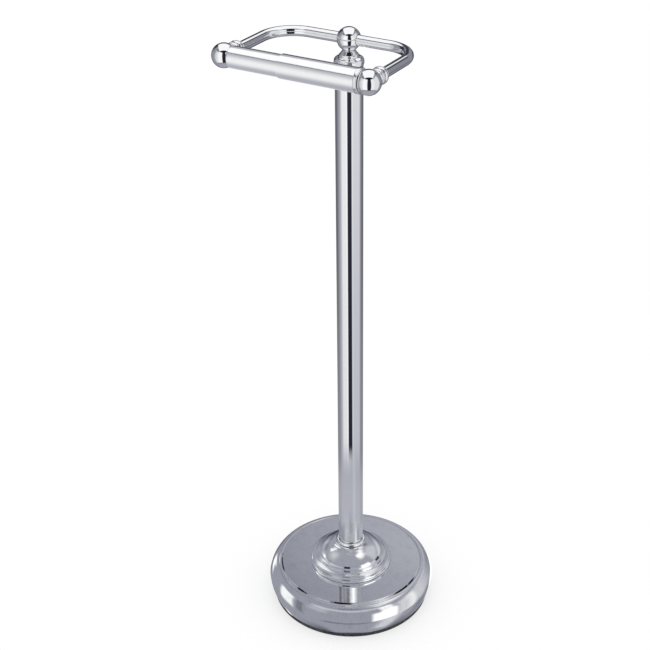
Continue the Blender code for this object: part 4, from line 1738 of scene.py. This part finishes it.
POST_ROOM = Surroundings(
    "post_room",
    radius=5.6,
    cool=(0.89, 0.9, 1.0),
    cool_below=0.55,
    ambient=0.47,
    screens=(
        Patch(bearing=-40, breadth=33, rise=15, reach=48.4, strength=0.34, soft=28, soft_rise=2.5),
        Patch(bearing=-40, breadth=33, rise=25, reach=45, strength=0.12, soft=28, soft_rise=30),
        Patch(bearing=44, breadth=52, rise=15, reach=48.4, strength=0.13, soft=14, soft_rise=2.5),
        Patch(bearing=44, breadth=52, rise=15, reach=35, strength=0.2, soft=14, soft_rise=26),
        Patch(bearing=-24, breadth=5, rise=4, reach=37.4, strength=0.1, soft=6, soft_rise=3),
        Patch(bearing=25, breadth=4, rise=4, reach=37.4, strength=0.1, soft=5, soft_rise=3),
        Patch(bearing=22, breadth=12, rise=41, reach=9, strength=0.5, soft=10, soft_rise=4),
        Patch(bearing=145, breadth=35, rise=41, reach=9, strength=0.56, soft=14, soft_rise=4),
        Patch(bearing=32, breadth=14, rise=-44, reach=10.5, strength=0.07, soft=16, soft_rise=2),
        Patch(bearing=0, breadth=200, rise=-60, reach=25.5, strength=0.045, soft=8, soft_rise=2),
    ),
    flags=(
        Patch(bearing=-0.8, breadth=16.8, rise=-1.1, reach=32.1, strength=0.95, soft=5, soft_rise=1),
        Patch(bearing=-150, breadth=34, rise=15, reach=42, strength=0.42, soft=16, soft_rise=12),
        Patch(bearing=151, breadth=36, rise=15, reach=42, strength=0.42, soft=16, soft_rise=12),
        Patch(bearing=-180, breadth=84, rise=33, reach=67, strength=0.38, soft=30, soft_rise=2),
        Patch(bearing=-47, breadth=36, rise=41, reach=9, strength=0.65, soft=16, soft_rise=4),
        Patch(bearing=-33, breadth=12, rise=41, reach=9, strength=0.45, soft=10, soft_rise=4),
        Patch(bearing=75, breadth=19, rise=41, reach=9, strength=0.5, soft=16, soft_rise=4),
        Patch(bearing=0, breadth=60, rise=58, reach=8, strength=0.3, soft=20, soft_rise=10),
        Patch(bearing=-180, breadth=84, rise=-67, reach=33, strength=0.14, soft=30, soft_rise=2),
    ),
)
DOME_ROOM = Surroundings(
    "dome_room",
    radius=5.2,
    cool=(0.815, 0.84, 1.0),
    ambient=0.4,
    screens=(
        Patch(bearing=92, breadth=50, rise=69, reach=4.5, strength=0.77, soft=30, soft_rise=18),
        Patch(bearing=70, breadth=20, rise=62.5, reach=9, strength=0.48, soft=30, soft_rise=11),
        Patch(bearing=50, breadth=16, rise=10, reach=22, strength=0.8, soft=10, soft_rise=12),
        Patch(bearing=-147, breadth=6, rise=52, reach=7, strength=0.8, soft=8, soft_rise=7),
        Patch(bearing=-116, breadth=6.5, rise=42, reach=5.5, strength=0.6, soft=8, soft_rise=7),
        Patch(bearing=-124, breadth=9, rise=51, reach=5, strength=0.45, soft=6, soft_rise=8),
        Patch(bearing=-106, breadth=6, rise=14, reach=5, strength=0.6, soft=8, soft_rise=8),
        Patch(bearing=-90, breadth=16, rise=46, reach=12, strength=0.24, soft=30, soft_rise=24),
        Patch(bearing=108, breadth=24, rise=38, reach=18, strength=0.2, soft=20, soft_rise=16),
        Patch(bearing=160, breadth=18, rise=56, reach=7, strength=0.5, soft=12, soft_rise=10),
        Patch(bearing=-165, breadth=7, rise=49, reach=5, strength=0.6, soft=4, soft_rise=7),
        Patch(bearing=0, breadth=200, rise=9, reach=7, strength=0.25, soft=10, soft_rise=10),
    ),
    flags=(
        Patch(bearing=-14, breadth=10, rise=8, reach=20, strength=0.93, soft=5, soft_rise=6),
        Patch(bearing=-167, breadth=6, rise=-4, reach=14, strength=0.5, soft=6, soft_rise=8),
        Patch(bearing=97, breadth=9, rise=3, reach=11, strength=0.88, soft=6, soft_rise=6),
        Patch(bearing=-175, breadth=5, rise=27, reach=4, strength=0.6, soft=5, soft_rise=4),
        Patch(bearing=-131, breadth=10, rise=12, reach=12, strength=0.3, soft=8, soft_rise=10),
        Patch(bearing=-80, breadth=6, rise=12, reach=14, strength=0.2, soft=6, soft_rise=8),
        Patch(bearing=-180, breadth=30, rise=-2, reach=24, strength=0.6, soft=30, soft_rise=14),
        Patch(bearing=152, breadth=8, rise=50, reach=5, strength=0.6, soft=4, soft_rise=8),
    ),
)
SHELL_ROOM = Surroundings(
    "shell_room",
    radius=4.8,
    cool=(0.815, 0.84, 1.0),
    ambient=0.375,
    screens=(
        Patch(bearing=43, breadth=17, rise=-8, reach=17, strength=0.74, soft=7, soft_rise=14),
        Patch(bearing=64, breadth=17, rise=-56, reach=12, strength=0.3, soft=26, soft_rise=8),
        Patch(bearing=-94, breadth=12, rise=-3.5, reach=19, strength=0.6, soft=8, soft_rise=10),
        Patch(bearing=-141, breadth=5, rise=-3, reach=18.5, strength=0.75, soft=8, soft_rise=8),
        Patch(bearing=-148.5, breadth=6, rise=-54.5, reach=3.5, strength=1.0, soft=3, soft_rise=3.5),
        Patch(bearing=142.5, breadth=12.5, rise=-32, reach=5.5, strength=1.1, soft=9, soft_rise=12),
        Patch(bearing=163, breadth=9.5, rise=-33.5, reach=9.5, strength=0.75, soft=3, soft_rise=4),
        Patch(bearing=106.5, breadth=56, rise=66, reach=6, strength=0.6, soft=8, soft_rise=24),
        Patch(bearing=156.5, breadth=9, rise=60, reach=5, strength=0.4, soft=10, soft_rise=10),
        Patch(bearing=108, breadth=26, rise=7, reach=32, strength=0.26, soft=26, soft_rise=10),
        Patch(bearing=0, breadth=60, rise=42, reach=8, strength=0.2, soft=26, soft_rise=10),
        Patch(bearing=152, breadth=26, rise=38, reach=18, strength=0.12, soft=16, soft_rise=14),
        Patch(bearing=76, breadth=15, rise=-2, reach=30, strength=0.3, soft=12, soft_rise=20),
        Patch(bearing=-47, breadth=13, rise=24, reach=15, strength=0.12, soft=12, soft_rise=14),
        Patch(bearing=48, breadth=9, rise=22, reach=17, strength=0.6, soft=8, soft_rise=12),
    ),
    flags=(
        Patch(bearing=-71, breadth=5, rise=-3, reach=18, strength=0.35, soft=5, soft_rise=8),
        Patch(bearing=-12, breadth=20, rise=-22.5, reach=2.2, strength=0.75, soft=16, soft_rise=2.5),
        Patch(bearing=-10, breadth=36, rise=-50, reach=2.5, strength=0.4, soft=24, soft_rise=3),
        Patch(bearing=0, breadth=200, rise=-88, reach=9, strength=0.8, soft=8, soft_rise=6),
        Patch(bearing=-115, breadth=52, rise=-74, reach=9, strength=0.6, soft=36, soft_rise=18),
        Patch(bearing=135, breadth=40, rise=-68, reach=10, strength=0.5, soft=30, soft_rise=16),
        Patch(bearing=131, breadth=16, rise=-16, reach=44, strength=0.24, soft=24, soft_rise=30),
        Patch(bearing=-168, breadth=16, rise=-18, reach=24, strength=0.5, soft=14, soft_rise=14),
        Patch(bearing=-5, breadth=24, rise=66, reach=14, strength=0.2, soft=24, soft_rise=6),
        Patch(bearing=-180, breadth=40, rise=49, reach=9, strength=0.13, soft=16, soft_rise=3),
        Patch(bearing=-168, breadth=9, rise=34, reach=12, strength=0.13, soft=4, soft_rise=8),
    ),
)


@dataclass
class Studio:
    """The pale lit floor, the soft light and what the plating mirrors."""

    view: Viewpoint
    base: Base
    post: Post
    roller: Roller
    floor_size: float = 8.0
    daylight: float = 1.03
    floor_shade: float = 0.38
    floor_glow: float = 0.62
    floor_roughness: float = 0.9
    mottle_scale: float = 3.0
    mottle: float = 0.01

    def build(self) -> None:
        """Makes the light, the floor and the surroundings."""
        self._light()
        self._floor()
        heading = self.view.heading
        POST_ROOM.build(heading, self.post.plated, alone=True)
        DOME_ROOM.build(heading, self.base.plated_dome, alone=True)
        SHELL_ROOM.build(heading, self.base.plated_shell, alone=True)
        ROLLER_ROOM.build(heading, self.roller.satin, alone=True)
        others = self.post.plated + self.base.plated_dome + self.base.plated_shell + self.roller.satin
        ARM_ROOM.build(heading, others, alone=False)

    def _light(self) -> None:
        """The even pale light of the room, which the plating doesn't mirror."""
        world = bpy.data.worlds.new("daylight")
        world.use_nodes = True
        graph = Graph(world.node_tree)
        mirrored = graph.node("ShaderNodeLightPath").outputs["Is Glossy Ray"]
        strength = graph.math("MULTIPLY", graph.math("SUBTRACT", 1.0, mirrored), self.daylight)
        sky = world.node_tree.nodes["Background"]
        sky.inputs["Color"].default_value = WHITE
        graph.feed(sky, "strength", strength)
        bpy.context.scene.world = world
        bpy.context.scene.view_settings.view_transform = "Standard"

    def _floor(self) -> None:
        """The plain pale floor, lit a little from below like a light table."""
        form = bmesh.new()
        bmesh.ops.create_grid(form, x_segments=8, y_segments=8, size=self.floor_size / 2)
        floor = linked("floor", form)
        coat = Coat("floor_paint")
        graph = coat.graph
        grain = graph.noise(vector=graph.place(), scale=self.mottle_scale, detail=2.0)
        shade = graph.math("ADD", graph.math("MULTIPLY", grain, self.mottle), self.floor_shade)
        colour = graph.node("ShaderNodeCombineColor", red=shade, green=shade, blue=shade)
        graph.feed(coat.shader, "base_color", colour.outputs[0])
        graph.feed(coat.shader, "roughness", self.floor_roughness)
        graph.feed(coat.shader, "specular_ior_level", 0.0)
        graph.feed(coat.shader, "emission_color", WHITE)
        graph.feed(coat.shader, "emission_strength", self.floor_glow)
        floor.data.materials.append(coat.made)
        floor.visible_glossy = False


def main() -> None:
    """Builds the camera, every sub-assembly and the studio in order."""
    logging.basicConfig(level=logging.INFO, format="%(name)s %(message)s")
    view = Viewpoint()
    view.build()
    shop = Workshop(Effects())
    base = Base(shop)
    base.build()
    post = Post(shop, bottom=base.top)
    post.build()
    seat = math.sqrt(Arm.ball_radius**2 - post.neck_radius**2)
    arm = Arm(shop, height=post.bell_top + FIT + seat)
    arm.build()
    roller = Roller(shop, arm)
    roller.build()
    Studio(view, base, post, roller).build()


if __name__ == "__main__":
    main()
